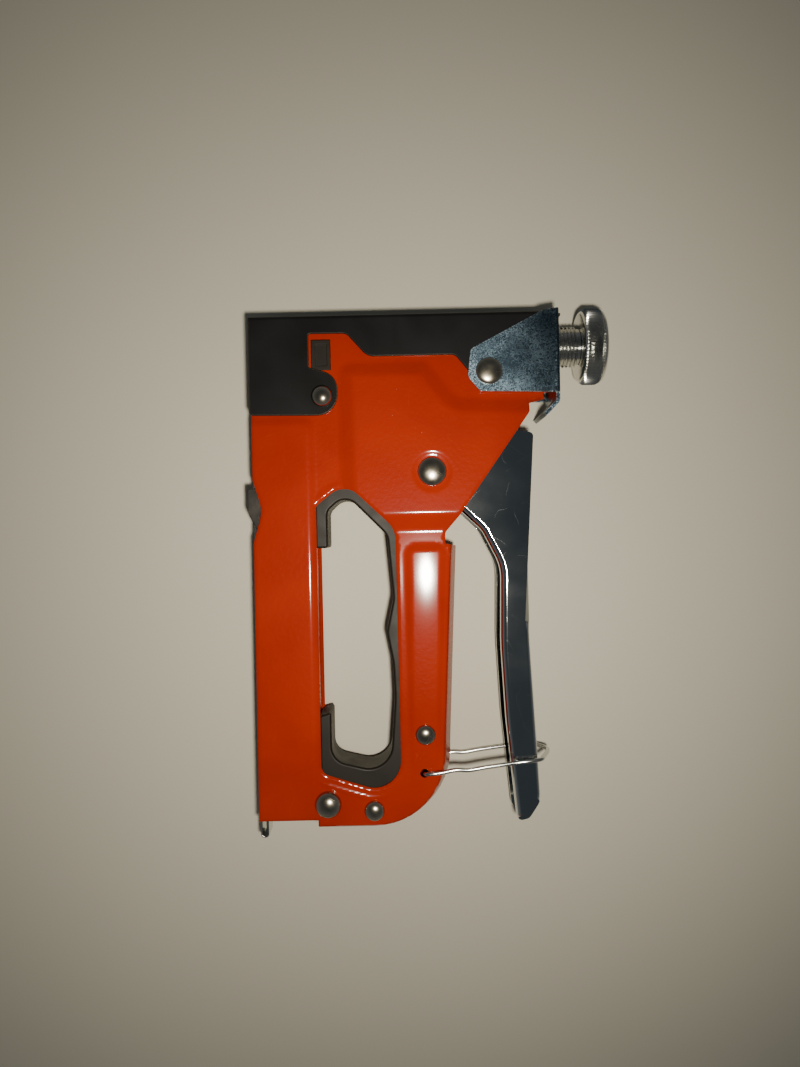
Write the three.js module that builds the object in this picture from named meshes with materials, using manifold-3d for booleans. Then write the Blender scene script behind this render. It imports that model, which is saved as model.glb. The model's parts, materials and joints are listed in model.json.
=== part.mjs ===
// Hand staple gun, lying on its side as it is put down on a bench.
//
// Millimetres.  The gun is drawn in its own directions, and every outline below uses them:
//   height  u = height above the working face, which goes to +X
//   setback w = distance behind the nose, which goes to -Y
//   side    z = distance from the seam where the two shells meet, which goes to +Z
// The root group then moves the finished gun so that its box stands on Z = 0, centred on X = Y = 0.
//
// Two pressed shells carry everything.  Squeezing the lever lifts the driver carrier with the lift pin
// against the power spring; the adjuster knob feeds the spring seat in or out to set the blow.
// The magazine is a fixed channel with a staple rail that draws out to the rear.

import * as THREE from 'three';
import { mergeVertices } from 'three/addons/utils/BufferGeometryUtils.js';
import Module from 'manifold-3d';

const wasm = await Module();
wasm.setup();

// ---------------------------------------------------------------- driving dimensions

const SHEET = 1.0;              // thickness of the pressed body sheet
const SEAM_GAP = 0.15;          // each shell stops this far from the seam plane
const SEAT = 0.15;              // gap where one piece is seated on another
const RUN = 0.3;                // running clearance of a moving piece

const FACE_FRONT = 8.9;         // half width of the body at the front and beside the hand hole
const FACE_STRIP = 9.8;         // half width along the magazine
const FACE_HANDLE = 10.0;       // half width of the handle
const FACE_PLATEAU = 11.2;      // half width of the raised cheek that makes room for the lever

const BODY_FRONT = 1.3;         // setback of the shells' front edge, behind the nose cap's wall
const BODY_TOP = 102.4;         // height of the shells' top edge, under the bracket
const MAGAZINE_END = 170;       // setback of the shells' end along the magazine
const HANDLE_END = 174.8;       // setback of the handle's end
const HANDLE_BACK = 66.6;       // height of the handle's back edge at its top

const CAP_HALF = 10.2;          // half width of the nose cap
const BRACKET_HALF = CAP_HALF + SEAT + SHEET;
const REST_HALF = 13;           // half width over the knob and the tallest rivet heads

const SPRING_SETBACK = 10.6;    // setback of the power spring, the seat and the adjuster
const STEM_RADIUS = 7;
const KNOB_RADIUS = 13;
const WEB_TOP = 104.5;          // height of the bracket's top face
const KNOB_BASE = 113;
const KNOB_TOP = 121;
const NUT_BASE = 96;            // the nut is a square block held between the two shells
const NUT_TOP = 101;
const NUT_FRONT = 1.7;
const NUT_BACK = 20;

const BLADE_SETBACK = 2.6;      // the driver blade runs just behind the guide plate
const BLADE_THICK = 1.2;
const CARRIER_FRONT = BLADE_SETBACK + BLADE_THICK + RUN;
const CARRIER_FOOT = 28.3;      // height of the carrier's foot on the bumper
const BUMPER_FRONT = 8.1;       // setback of the bumper's lugs, which show in the shells' windows
const BUMPER_BACK = 18.3;
const SHELF_BASE = 49.85;       // height of the shelf that the lift pin raises
const SHELF_TOP = 52.3;
const SEAT_DISC = 92;           // height of the spring seat's disc
const SEAT_DISC_THICK = 2.4;

const PIVOT = { u: 60.9, w: 53.5 };
const LIFT_PIN = { u: 47.5, w: 27 };
const LEVER_HALF = 9.4;
const LEVER_SHEET = 1.2;

const LATCH_HOLE = { u: 56.2, w: 155 };
const WIRE_RADIUS = 0.72;

const CHANNEL_HALF = 6.7;       // outer half width of the magazine channel
const CHANNEL_WALL = 0.8;
const CHANNEL_TOP = 20.4;
const RAIL_HALF = 4.8;          // the staples straddle the rail
const RAIL_WALL = 0.8;
const RAIL_TOP = 17.5;
const ROD_HEIGHT = 11.5;        // height of the follower's spring and its rod
const FOLLOWER_FRONT = 5.2;
const FOLLOWER_REAR = 17.2;

const CATCH_PIN = { u: 6, w: 69 };

// Each rivet: place, shank radius, head radius, the face it closes on, and the top of its head.
const RIVETS = {
  pivot_rivet: { ...PIVOT, shank: 3.0, head: 4.85, face: FACE_PLATEAU, top: REST_HALF },
  bracket_rivet: { u: 80.7, w: 20.4, shank: 1.6, head: 4.5, face: BRACKET_HALF, top: REST_HALF },
  cap_rivet: { u: 24.5, w: 27.4, shank: 1.8, head: 3.6, face: CAP_HALF, top: REST_HALF },
  handle_rivet: { u: 56.8, w: 141.9, shank: 2.0, head: 3.35, face: FACE_HANDLE, top: 12 },
  rear_small_rivet: { u: 39.1, w: 167, shank: 2.0, head: 3.4, face: FACE_HANDLE, top: 12.2 },
  rear_large_rivet: { u: 23.6, w: 164.6, shank: 2.0, head: 4.5, face: FACE_HANDLE, top: REST_HALF },
};

// ---------------------------------------------------------------- materials

const finish = (color, roughness, metalness) => new THREE.MeshStandardMaterial({ color, roughness, metalness });
const ORANGE_PAINT = finish(0xd03a10, 0.35, 0.0);
const BLACK_PAINT = finish(0x1b1a1c, 0.45, 0.0);
const GALVANISED = finish(0x8f9aa6, 0.35, 1.0);
const BRIGHT_ZINC = finish(0xc9ccd0, 0.22, 1.0);
const CHROME = finish(0xd6d8da, 0.08, 1.0);
const NICKEL = finish(0x8d8478, 0.18, 1.0);
const SPRING_STEEL = finish(0x6a6c70, 0.35, 1.0);
const DARK_STEEL = finish(0x2c2a2a, 0.5, 1.0);
const RUBBER = finish(0x151414, 0.7, 0.0);

// ---------------------------------------------------------------- solids

function toSolid(geometry) {
  const bare = geometry.clone();
  bare.deleteAttribute('normal');
  bare.deleteAttribute('uv');
  const merged = mergeVertices(bare, 1e-4);
  return new wasm.Manifold(new wasm.Mesh({
    numProp: 3,
    vertProperties: new Float32Array(merged.attributes.position.array),
    triVerts: new Uint32Array(merged.index.array),
  }));
}

function toGeometry(solid) {
  const mesh = solid.getMesh();
  const geometry = new THREE.BufferGeometry();
  geometry.setAttribute('position', new THREE.BufferAttribute(new Float32Array(mesh.vertProperties), 3));
  geometry.setIndex(new THREE.BufferAttribute(new Uint32Array(mesh.triVerts), 1));
  geometry.computeVertexNormals();
  return geometry;
}

const join = (...solids) => solids.reduce((whole, next) => whole.add(next));
const cut = (solid, ...tools) => tools.reduce((whole, tool) => whole.subtract(tool), solid);

// The corner points [u, w, radius] of an outline, with each corner rounded by an arc of its radius.
function outline(corners, arcStep = Math.PI / 8) {
  const points = [];
  const place = ([u, w]) => new THREE.Vector2(u, -w);
  corners.forEach((corner, i) => {
    const here = place(corner);
    const radius = corner[2] ?? 0;
    const toBefore = place(corners.at(i - 1)).sub(here);
    const toAfter = place(corners[(i + 1) % corners.length]).sub(here);
    if (radius === 0) {
      points.push(here);
      return;
    }
    const before = toBefore.normalize();
    const after = toAfter.normalize();
    const half = Math.acos(THREE.MathUtils.clamp(before.dot(after), -1, 1)) / 2;
    const centre = before.clone().add(after).normalize().multiplyScalar(radius / Math.sin(half)).add(here);
    const start = before.clone().multiplyScalar(radius / Math.tan(half)).add(here).sub(centre);
    const turn = (Math.PI - 2 * half) * Math.sign(after.cross(before));
    const steps = Math.max(1, Math.ceil(Math.abs(turn) / arcStep));
    for (let k = 0; k <= steps; k += 1) {
      points.push(start.clone().rotateAround(new THREE.Vector2(), (turn * k) / steps).add(centre));
    }
  });
  return points;
}

// A flat plate with the given outline, from one side distance to another.
function plate(corners, zLow, zHigh) {
  const shape = new THREE.Shape(outline(corners));
  const geometry = new THREE.ExtrudeGeometry(shape, { depth: zHigh - zLow, bevelEnabled: false });
  geometry.translate(0, 0, zLow);
  return toSolid(geometry);
}

const symmetricPlate = (corners, half) => plate(corners, -half, half);

// A block that is symmetric about the seam, whose edges slope in by slopeWidth over the outer slopeHeight.
// An inset makes the same block smaller all round, which is the hollow inside a pressed sheet.
function pressing(corners, half, slopeWidth, slopeHeight, inset = 0) {
  const straight = half - inset - slopeHeight;
  const geometry = new THREE.ExtrudeGeometry(new THREE.Shape(outline(corners)), {
    depth: 2 * straight,
    bevelEnabled: true,
    bevelThickness: slopeHeight,
    bevelSize: slopeWidth,
    bevelOffset: -slopeWidth - inset,
    bevelSegments: 1,
  });
  geometry.translate(0, 0, -straight);
  return toSolid(geometry);
}

const box = (uLow, uHigh, wLow, wHigh, zLow, zHigh) => {
  const geometry = new THREE.BoxGeometry(uHigh - uLow, wHigh - wLow, zHigh - zLow);
  geometry.translate((uLow + uHigh) / 2, -(wLow + wHigh) / 2, (zLow + zHigh) / 2);
  return toSolid(geometry);
};

const slab = (uLow, uHigh, wLow, wHigh, half) => box(uLow, uHigh, wLow, wHigh, -half, half);

// A pin across the gun, along the side direction.
function crossPin(place, radius, zLow, zHigh, segments = 16) {
  const geometry = new THREE.CylinderGeometry(radius, radius, zHigh - zLow, segments);
  geometry.rotateX(Math.PI / 2);
  geometry.translate(place.u, -place.w, (zLow + zHigh) / 2);
  return toSolid(geometry);
}

const throughPin = (place, radius, half, segments) => crossPin(place, radius, -half, half, segments);

// A turned piece on the power spring's axis, from [radius, height] points.
function turnedUpright(profile, segments = 28) {
  const geometry = new THREE.LatheGeometry(profile.map(([r, u]) => new THREE.Vector2(r, u)), segments);
  geometry.rotateZ(-Math.PI / 2);
  geometry.translate(0, -SPRING_SETBACK, 0);
  return toSolid(geometry);
}

// A turned piece across the gun, from [radius, side distance] points.
function turnedAcross(profile, place, segments = 16) {
  const geometry = new THREE.LatheGeometry(profile.map(([r, z]) => new THREE.Vector2(r, z)), segments);
  geometry.rotateX(Math.PI / 2);
  geometry.translate(place.u, -place.w, 0);
  return toSolid(geometry);
}

// Round wire along a curve.
function wire(curve, radius, steps, sides = 6) {
  const section = new THREE.Shape();
  section.absarc(0, 0, radius, 0, 2 * Math.PI);
  const round = new THREE.Shape(section.getPoints(sides).slice(0, sides));
  return toSolid(new THREE.ExtrudeGeometry(round, { steps, extrudePath: curve, bevelEnabled: false }));
}

// A helix about an axis that starts at one end point and runs to the other.
class Helix extends THREE.Curve {
  constructor(start, end, radius, turns) {
    super();
    this.start = start;
    this.span = end.clone().sub(start);
    this.radius = radius;
    this.turns = turns;
    const along = this.span.clone().normalize();
    this.across = new THREE.Vector3(0, 0, 1).cross(along).normalize();
    if (this.across.lengthSq() === 0) {
      this.across.set(1, 0, 0);
    }
    this.over = along.clone().cross(this.across);
  }

  getPoint(t, target = new THREE.Vector3()) {
    const angle = 2 * Math.PI * this.turns * t;
    return target.copy(this.start).addScaledVector(this.span, t)
      .addScaledVector(this.across, this.radius * Math.cos(angle))
      .addScaledVector(this.over, this.radius * Math.sin(angle));
  }
}

// ---------------------------------------------------------------- the two body shells

const BODY_OUTLINE = [
  [0.4, BODY_FRONT], [BODY_TOP, BODY_FRONT], [BODY_TOP, 27], [94.2, 29], [94.1, 34, 2],
  [69.8, 68.4, 3], [65, 74, 2], [64.9, 77.8], [HANDLE_BACK, 78.6], [65.3, 103.5, 60], [63.2, 146],
  [62.6, HANDLE_END, 24], [20.1, HANDLE_END], [20.1, MAGAZINE_END], [0.2, MAGAZINE_END],
  [0.4, 76, 3], [3.6, 65.5, 12], [0.4, 55, 3],
];

// The handle's outline at the seam: its back wall leans out by BACK_DRAFT below the face.
const BACK_DRAFT = 2.4;
const HANDLE_OUTLINE = [
  [30, 70], [64, 70], [HANDLE_BACK + BACK_DRAFT, 78.6], [65.3 + BACK_DRAFT, 103.5, 60],
  [63.2 + BACK_DRAFT, 146], [62.6 + BACK_DRAFT, HANDLE_END, 26], [20.1, HANDLE_END], [20.1, 158], [30, 158],
];

const STRIP_OUTLINE = [[0.2, 34], [21.9, 34], [21.9, MAGAZINE_END], [0.2, MAGAZINE_END]];

const PLATEAU_OUTLINE = [
  [30.3, 16, 5], [58.4, 16, 6], [75, 29.5, 4], [96, 29.5], [96, 36], [70, 72], [30.3, 72, 5],
];

const HAND_HOLE = [[21.5, 64.2, 2], [31.4, 56.4, 7], [48.2, 72.6, 9], [48.4, 162.8, 9], [21.4, 154.4, 3.5]];

// Level blocks of the body, each [outline, half width, slope width, slope height].
const BODY_LEVELS = [
  [BODY_OUTLINE, FACE_FRONT, 0.8, 0.8],
  [STRIP_OUTLINE, FACE_STRIP, 2.4, 0.8],
  [PLATEAU_OUTLINE, FACE_PLATEAU, 3.2, 2.2],
  [HANDLE_OUTLINE, FACE_HANDLE, BACK_DRAFT, 8.5],
];

function bodySkin() {
  const outer = join(...BODY_LEVELS.map(([shape, half, run, rise]) => pressing(shape, half, run, rise)));
  const hollow = join(...BODY_LEVELS.map(([shape, half, run, rise]) => pressing(shape, half, run, rise, SHEET)));
  const profile = join(symmetricPlate(BODY_OUTLINE, REST_HALF), symmetricPlate(HANDLE_OUTLINE, REST_HALF));
  const hollowHalf = FACE_FRONT - SHEET;
  const openings = [
    slab(-2, 2, 0, MAGAZINE_END - 2, hollowHalf),                       // along the working face
    slab(-2, 4, 40, MAGAZINE_END - 2, FACE_STRIP - SHEET),              // beside the magazine
    slab(-2, BODY_TOP - SHEET, 0, 4, hollowHalf),                       // behind the nose cap
    slab(-2, CHANNEL_TOP - SHEET, MAGAZINE_END - 4, HANDLE_END - 2, hollowHalf), // for the rail
    symmetricPlate([[91, 36], [96, 31], [99, 60], [72, 82], [64.2, 76.6], [62, 72]], FACE_PLATEAU - SHEET),
  ];
  return cut(outer.intersect(profile), hollow, ...openings);
}

const WINDOW_GAP = 0.4;         // play of the bumper in its windows
const NUT_GAP = 0.2;            // play of the nut in its windows
const LATCH_HOLE_RADIUS = 1.5;

// A rectangular window through both shells.
function window(uLow, uHigh, wLow, wHigh) {
  return symmetricPlate([[uLow, wLow], [uHigh, wLow], [uHigh, wHigh], [uLow, wHigh]], REST_HALF);
}

// A round bore on the power spring's axis.
function uprightBore(radius, low, high) {
  return turnedUpright([[0, low], [radius, low], [radius, high], [0, high]]);
}

const rivetHole = (rivet) => throughPin(rivet, rivet.shank + SEAT, REST_HALF);

// One shell: the part of the pressed skin on one side (1 or -1) of the seam.
function shell(side) {
  const openings = [
    symmetricPlate(HAND_HOLE, REST_HALF),
    window(CHANNEL_TOP + RUN, CARRIER_FOOT - 0.5, BUMPER_FRONT - RUN, BUMPER_BACK + WINDOW_GAP),
    window(NUT_BASE - NUT_GAP, NUT_TOP + NUT_GAP, NUT_FRONT - NUT_GAP, NUT_BACK + NUT_GAP),
    throughPin(LATCH_HOLE, LATCH_HOLE_RADIUS, REST_HALF, 12),
    uprightBore(STEM_RADIUS + RUN, BODY_TOP - 4, BODY_TOP + 2),
    ...Object.values(RIVETS).map(rivetHole),
  ];
  const nearSide = box(-5, 130, -5, 190, SEAM_GAP, REST_HALF);
  const half = side > 0 ? nearSide : nearSide.mirror([0, 0, 1]);
  return cut(bodySkin(), ...openings).intersect(half);
}

// ---------------------------------------------------------------- nose cap and top bracket

const CAP_OUTLINE = [
  [0, 0], [0, 33.4, 1], [20.9, 33.8, 2], [29.7, 33.8, 7], [29.7, 20.4, 6], [20.3, 17.6], [20.3, 6.3, 0.8],
  [33, 6.4, 3], [40, 14.3, 5], [69.5, 14.3, 3], [74, 20, 2], [80, 26.5, 3], [102.8, 26.5], [102.8, 0],
];
const CAP_TAB = { low: 90, top: 106, half: 6 };   // the tongue of the front wall that shows above the bracket

function noseCap() {
  const hollow = slab(-1, CAP_TAB.top + 1, SHEET, 40, CAP_HALF - SHEET);
  const tab = slab(CAP_TAB.low, CAP_TAB.top, 0, SHEET, CAP_TAB.half);
  const folded = join(cut(symmetricPlate(CAP_OUTLINE, CAP_HALF), hollow), tab);
  return cut(folded, rivetHole(RIVETS.cap_rivet), rivetHole(RIVETS.bracket_rivet));
}

const EAR_OUTLINE = [
  [WEB_TOP, -0.5], [99.3, 0.2, 1], [74.6, 12.9, 2], [73.6, 22.3, 2.5], [77.6, 27, 1.5], [WEB_TOP, 27.8],
];
const WEB_BASE = WEB_TOP - 1.3;
const WEB_FRONT = SHEET + 0.25;
const WEB_OUTLINE = [
  [WEB_BASE, WEB_FRONT], [WEB_TOP, WEB_FRONT], [WEB_TOP, 30.8, 1.5], [99.8, 35.6], [98.8, 34.6], [WEB_BASE, 30.2],
];

function topBracket() {
  const inside = BRACKET_HALF - SHEET;
  const ears = cut(symmetricPlate(EAR_OUTLINE, BRACKET_HALF), slab(60, WEB_BASE, -2, 40, inside));
  const clearFront = slab(60, WEB_TOP + 4, -2, WEB_FRONT, inside);
  const web = symmetricPlate(WEB_OUTLINE, inside);
  const stemHole = uprightBore(STEM_RADIUS + RUN, WEB_BASE - 4, WEB_TOP + 4);
  return cut(join(cut(ears, clearFront), web), stemHole, rivetHole(RIVETS.bracket_rivet));
}

// ---------------------------------------------------------------- blow adjuster and power spring

function adjusterNut() {
  const bore = uprightBore(STEM_RADIUS + SEAT, NUT_BASE - 1, NUT_TOP + 1);
  return cut(slab(NUT_BASE, NUT_TOP, NUT_FRONT, NUT_BACK, FACE_FRONT - NUT_GAP), bore);
}

const SCREW_BASE = SEAT_DISC + SEAT_DISC_THICK + SEAT;
const SPIGOT_RADIUS = 4;        // the screw's end, which the knob is pressed on
const NECK_RADIUS = STEM_RADIUS - 0.8;

function adjusterScrew() {
  return turnedUpright([
    [0, SCREW_BASE], [STEM_RADIUS - 1, SCREW_BASE], [STEM_RADIUS, SCREW_BASE + 1], [STEM_RADIUS, KNOB_BASE - 3],
    [NECK_RADIUS, KNOB_BASE - 2.6], [NECK_RADIUS, KNOB_BASE - SEAT], [SPIGOT_RADIUS, KNOB_BASE - SEAT],
    [SPIGOT_RADIUS, KNOB_TOP - 0.6], [0, KNOB_TOP - 0.6],
  ]);
}

function adjusterKnob() {
  const bore = SPIGOT_RADIUS + SEAT;
  return turnedUpright([
    [bore, KNOB_BASE], [KNOB_RADIUS - 1, KNOB_BASE], [KNOB_RADIUS, KNOB_BASE + 1], [KNOB_RADIUS, KNOB_TOP - 1.5],
    [KNOB_RADIUS - 1.5, KNOB_TOP], [bore, KNOB_TOP], [bore, KNOB_BASE],
  ], 48);
}

// The disc carries the spring's end; the boss below it keeps the spring central.
function springSeat() {
  const disc = 7;
  const boss = 4.7;
  return turnedUpright([
    [0, SEAT_DISC - 5], [boss - 1, SEAT_DISC - 5], [boss, SEAT_DISC - 4], [boss, SEAT_DISC], [disc, SEAT_DISC],
    [disc, SEAT_DISC + SEAT_DISC_THICK], [0, SEAT_DISC + SEAT_DISC_THICK],
  ]);
}

const POWER_WIRE = 1.1;
const POWER_RADIUS = 6.3;
const POWER_TURNS = 8;

function powerSpring() {
  const low = new THREE.Vector3(SHELF_TOP + POWER_WIRE + SEAT, -SPRING_SETBACK, 0);
  const high = new THREE.Vector3(SEAT_DISC - POWER_WIRE - SEAT, -SPRING_SETBACK, 0);
  return wire(new Helix(low, high, POWER_RADIUS, POWER_TURNS), POWER_WIRE, POWER_TURNS * 10);
}

// ---------------------------------------------------------------- driver

const CARRIER_HALF = 6.5;
const BLADE_HALF = 5.4;         // half the width of a staple's crown
const GUIDE_HALF = 6.9;
const GUIDE_TOP = 48;

function driverBlade() {
  return slab(0.8, SHELF_TOP, BLADE_SETBACK, BLADE_SETBACK + BLADE_THICK, BLADE_HALF);
}

// A hardened plate between the nose cap's wall and the blade.
function driverGuide() {
  return slab(0.3, GUIDE_TOP, SHEET + 0.25, BLADE_SETBACK - RUN, GUIDE_HALF);
}

function driverCarrier() {
  const back = slab(CARRIER_FOOT, SHELF_TOP, CARRIER_FRONT, CARRIER_FRONT + 2, CARRIER_HALF);
  const foot = slab(CARRIER_FOOT, CARRIER_FOOT + 2.3, CARRIER_FRONT, 16.5, CARRIER_HALF);
  const shelf = slab(SHELF_BASE, SHELF_TOP, CARRIER_FRONT, 30, CARRIER_HALF);
  const rib = plate([[CARRIER_FOOT, 5], [CARRIER_FOOT + 2, 15], [SHELF_BASE - 6, 12], [SHELF_BASE, 18],
    [SHELF_TOP - 1, 5]], -1, 1);
  return join(back, foot, shelf, rib);
}

function bumper() {
  const base = CHANNEL_TOP + RUN;
  const block = slab(base, CARRIER_FOOT - RUN, CARRIER_FRONT, BUMPER_BACK, FACE_FRONT - SHEET - SEAT);
  const lugs = slab(base + 0.3, CARRIER_FOOT - 0.8, BUMPER_FRONT, BUMPER_BACK, FACE_FRONT - 0.3);
  return join(block, lugs);
}

// ---------------------------------------------------------------- lever

const LEVER_OUTLINE = [
  [95.3, 41, 1.5], [88.5, 39.8, 2], [72, 39.5, 6], [57, 31.5, 10], [50.6, 23.2, 3.6], [43.6, 24.6, 3.2],
  [46, 33.5, 4], [52, 50, 10], [54.6, 63.4, 9], [67, 63.5, 4], [77.5, 73.6, 10], [83.6, 86, 16],
  [83.0, 112, 60], [84.2, 138, 60], [87.3, 171.8, 1], [91.2, 170.9, 3], [95.2, 165, 7], [94.7, 152, 60], [92.6, 108, 80],
];
// The hollow of the channel follows the back edge and is open everywhere else.
const LEVER_HOLLOW = [
  [94.1, 35], [40, 15], [40, 70], [78, 178], [92, 178], [93.6, 163], [93.5, 152, 60], [91.4, 108, 80], [94.1, 41],
];
const LEVER_INSIDE = LEVER_HALF - LEVER_SHEET;
const LIFT_PIN_RADIUS = 2;
const JOURNAL_RADIUS = 1.4;

function lever() {
  const channel = cut(symmetricPlate(LEVER_OUTLINE, LEVER_HALF), symmetricPlate(LEVER_HOLLOW, LEVER_INSIDE));
  return cut(
    channel,
    throughPin(PIVOT, RIVETS.pivot_rivet.shank + RUN, REST_HALF),
    throughPin(LIFT_PIN, JOURNAL_RADIUS + SEAT, REST_HALF, 12),
  );
}

function liftPin() {
  const shoulder = LEVER_INSIDE - SEAT;
  const end = LEVER_HALF;
  return turnedAcross([
    [0, -end], [JOURNAL_RADIUS, -end], [JOURNAL_RADIUS, -shoulder], [LIFT_PIN_RADIUS, -shoulder],
    [LIFT_PIN_RADIUS, shoulder], [JOURNAL_RADIUS, shoulder], [JOURNAL_RADIUS, end], [0, end],
  ], LIFT_PIN, 12);
}

function sleeve(place, inner, outer, half) {
  return turnedAcross([[inner, -half], [outer, -half], [outer, half], [inner, half], [inner, -half]], place);
}

const COIL_RADIUS = 5.9;
const COIL_WIRE = 0.6;

// A torsion spring: a leg along the lever's back, the coil round the pivot bush, and a leg down the handle.
function leverReturnSpring() {
  const coilHalf = 2.6;
  const points = [new THREE.Vector3(PIVOT.u + 30.5, -PIVOT.w - 16.5, -coilHalf)];
  const turns = 3.36;
  const steps = 30;
  for (let k = 0; k <= steps; k += 1) {
    const angle = 0.9 + (2 * Math.PI * turns * k) / steps;
    points.push(new THREE.Vector3(
      PIVOT.u + COIL_RADIUS * Math.cos(angle),
      -PIVOT.w + COIL_RADIUS * Math.sin(angle),
      -coilHalf + (2 * coilHalf * k) / steps,
    ));
  }
  points.push(new THREE.Vector3(PIVOT.u - 6.5, -PIVOT.w - 22, coilHalf));
  return wire(new THREE.CatmullRomCurve3(points, false, 'centripetal'), COIL_WIRE, 64);
}

// ---------------------------------------------------------------- wire latch

const LATCH_SIDE = 11.15;       // side distance of the latch's arms
const LATCH_ARM = 37.9;         // straight length of an arm
const LATCH_TIP = 43.3;         // reach of the cross bar's point
const LATCH_TILT = 0.11;        // the arms lean this far towards the nose, in radians

function wireLatch() {
  const bend = 2.5;
  const halfRoute = [
    [0, 7.2], [0, 9.4], [0.5, LATCH_SIDE - 0.5], [2, LATCH_SIDE], [12, LATCH_SIDE], [LATCH_ARM, LATCH_SIDE],
    [LATCH_ARM + 0.7 * bend, LATCH_SIDE - 0.3 * bend], [LATCH_ARM + bend, LATCH_SIDE - bend], [LATCH_TIP, 0.9],
  ];
  const mirrored = halfRoute.map(([reach, z]) => [reach, -z]).reverse();
  const points = [...halfRoute, ...mirrored].map(([reach, z]) => new THREE.Vector3(
    LATCH_HOLE.u + reach * Math.cos(LATCH_TILT),
    -LATCH_HOLE.w + reach * Math.sin(LATCH_TILT),
    z,
  ));
  return wire(new THREE.CatmullRomCurve3(points, false, 'centripetal'), WIRE_RADIUS, 72);
}

// ---------------------------------------------------------------- grip liner

const LINER_HALF = FACE_FRONT - SHEET - SEAT;
const LINER_OUTER = [[20.9, 62, 2], [31.4, 53.8, 8], [50.2, 71.7, 10], [50.4, 165.6, 11], [20.9, 156.4, 4]];
const LINER_INNER = [
  [25.2, 66, 3.5], [31.4, 60.4, 5], [45.2, 74.5, 5], [46.9, 96, 8], [44.4, 107.5, 7], [46.3, 118, 9],
  [46.7, 130, 30], [44.6, 155.4, 8], [25, 150.6, 6],
];

function gripLiner() {
  const gap = slab(10, 28, 78.5, 134, REST_HALF);
  return cut(symmetricPlate(LINER_OUTER, LINER_HALF), symmetricPlate(LINER_INNER, REST_HALF), gap);
}

// ---------------------------------------------------------------- magazine

function magazineChannel() {
  const front = CARRIER_FRONT + 0.3;
  const outer = slab(0.3, CHANNEL_TOP, front, MAGAZINE_END - 1.5, CHANNEL_HALF);
  const inner = slab(-1, CHANNEL_TOP - CHANNEL_WALL, front - 1, MAGAZINE_END, CHANNEL_HALF - CHANNEL_WALL);
  return cut(outer, inner);
}

function stapleRail() {
  const front = CARRIER_FRONT + 0.6;
  const rear = MAGAZINE_END - 1.5;
  const outer = slab(1, RAIL_TOP, front, rear, RAIL_HALF);
  const inner = slab(0, RAIL_TOP - RAIL_WALL, front - 1, rear + 1, RAIL_HALF - RAIL_WALL);
  const tongueSlot = slab(RAIL_TOP - 2, RAIL_TOP + 1, FOLLOWER_REAR - 6, rear - 6, 1.3);
  return cut(outer, inner, tongueSlot);
}

function railPullTab() {
  const wallFront = MAGAZINE_END - 1.2;
  const wall = slab(0, RAIL_TOP, wallFront, MAGAZINE_END - 0.1, RAIL_HALF);
  const loopEnd = 177.5;
  const loop = symmetricPlate([[-0.3, wallFront], [2.5, wallFront], [2.5, loopEnd, 1], [-0.3, loopEnd, 1]], 4);
  const eye = symmetricPlate([[0.4, MAGAZINE_END + 0.7], [1.8, MAGAZINE_END + 0.7], [1.8, loopEnd - 0.7],
    [0.4, loopEnd - 0.7]], 5);
  return cut(join(wall, loop), eye);
}

// A round piece along the magazine, at the rod's height.
function rodAlong(radius, wLow, wHigh, segments) {
  const geometry = new THREE.CylinderGeometry(radius, radius, wHigh - wLow, segments);
  geometry.translate(ROD_HEIGHT, -(wLow + wHigh) / 2, 0);
  return toSolid(geometry);
}

const ROD_RADIUS = 0.9;
const ROD_END = MAGAZINE_END - 1.35;

function followerRod() {
  return rodAlong(ROD_RADIUS, FOLLOWER_FRONT + 2, ROD_END, 10);
}

function follower() {
  const inside = RAIL_HALF + 0.2;
  const saddle = cut(
    slab(2, RAIL_TOP + 1.1, FOLLOWER_FRONT, FOLLOWER_REAR, inside + 0.7),
    slab(0, RAIL_TOP + 0.3, FOLLOWER_FRONT - 1, FOLLOWER_REAR + 1, inside),
  );
  const tongue = slab(ROD_HEIGHT, RAIL_TOP + 1, FOLLOWER_REAR - 4, FOLLOWER_REAR, 0.9);
  const block = slab(ROD_HEIGHT - 3.5, ROD_HEIGHT + 3.5, FOLLOWER_REAR - 8, FOLLOWER_REAR, RAIL_HALF - RAIL_WALL - 0.4);
  return cut(join(saddle, tongue, block), rodAlong(ROD_RADIUS + RUN, 0, 30, 10));
}

const FOLLOWER_TURNS = 22;
const FOLLOWER_COIL = 2.2;
const FOLLOWER_WIRE = 0.35;

function followerSpring() {
  const start = new THREE.Vector3(ROD_HEIGHT, -FOLLOWER_REAR - 0.5, 0);
  const end = new THREE.Vector3(ROD_HEIGHT, -ROD_END + 0.6, 0);
  return wire(new Helix(start, end, FOLLOWER_COIL, FOLLOWER_TURNS), FOLLOWER_WIRE, FOLLOWER_TURNS * 6, 4);
}

// ---------------------------------------------------------------- magazine catch

const CATCH_LOW = 7.1;
const CATCH_HIGH = 8.3;
const CATCH_PIN_RADIUS = 1.2;

function magazineCatch() {
  const tongue = plate([[-1.6, 57.8, 0.8], [-1.6, 66, 1.5], [1.2, 71.6, 1], [9, 71.6, 2], [9, 65.5, 2], [3, 62, 1.5],
    [3, 57.8, 0.6]], CATCH_LOW, CATCH_HIGH);
  return cut(tongue, crossPin(CATCH_PIN, CATCH_PIN_RADIUS + RUN, 0, REST_HALF, 12));
}

function catchPin() {
  return crossPin(CATCH_PIN, CATCH_PIN_RADIUS, CHANNEL_HALF + SEAT, FACE_STRIP - SHEET - SEAT, 12);
}

// ---------------------------------------------------------------- rivets and spacers

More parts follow.
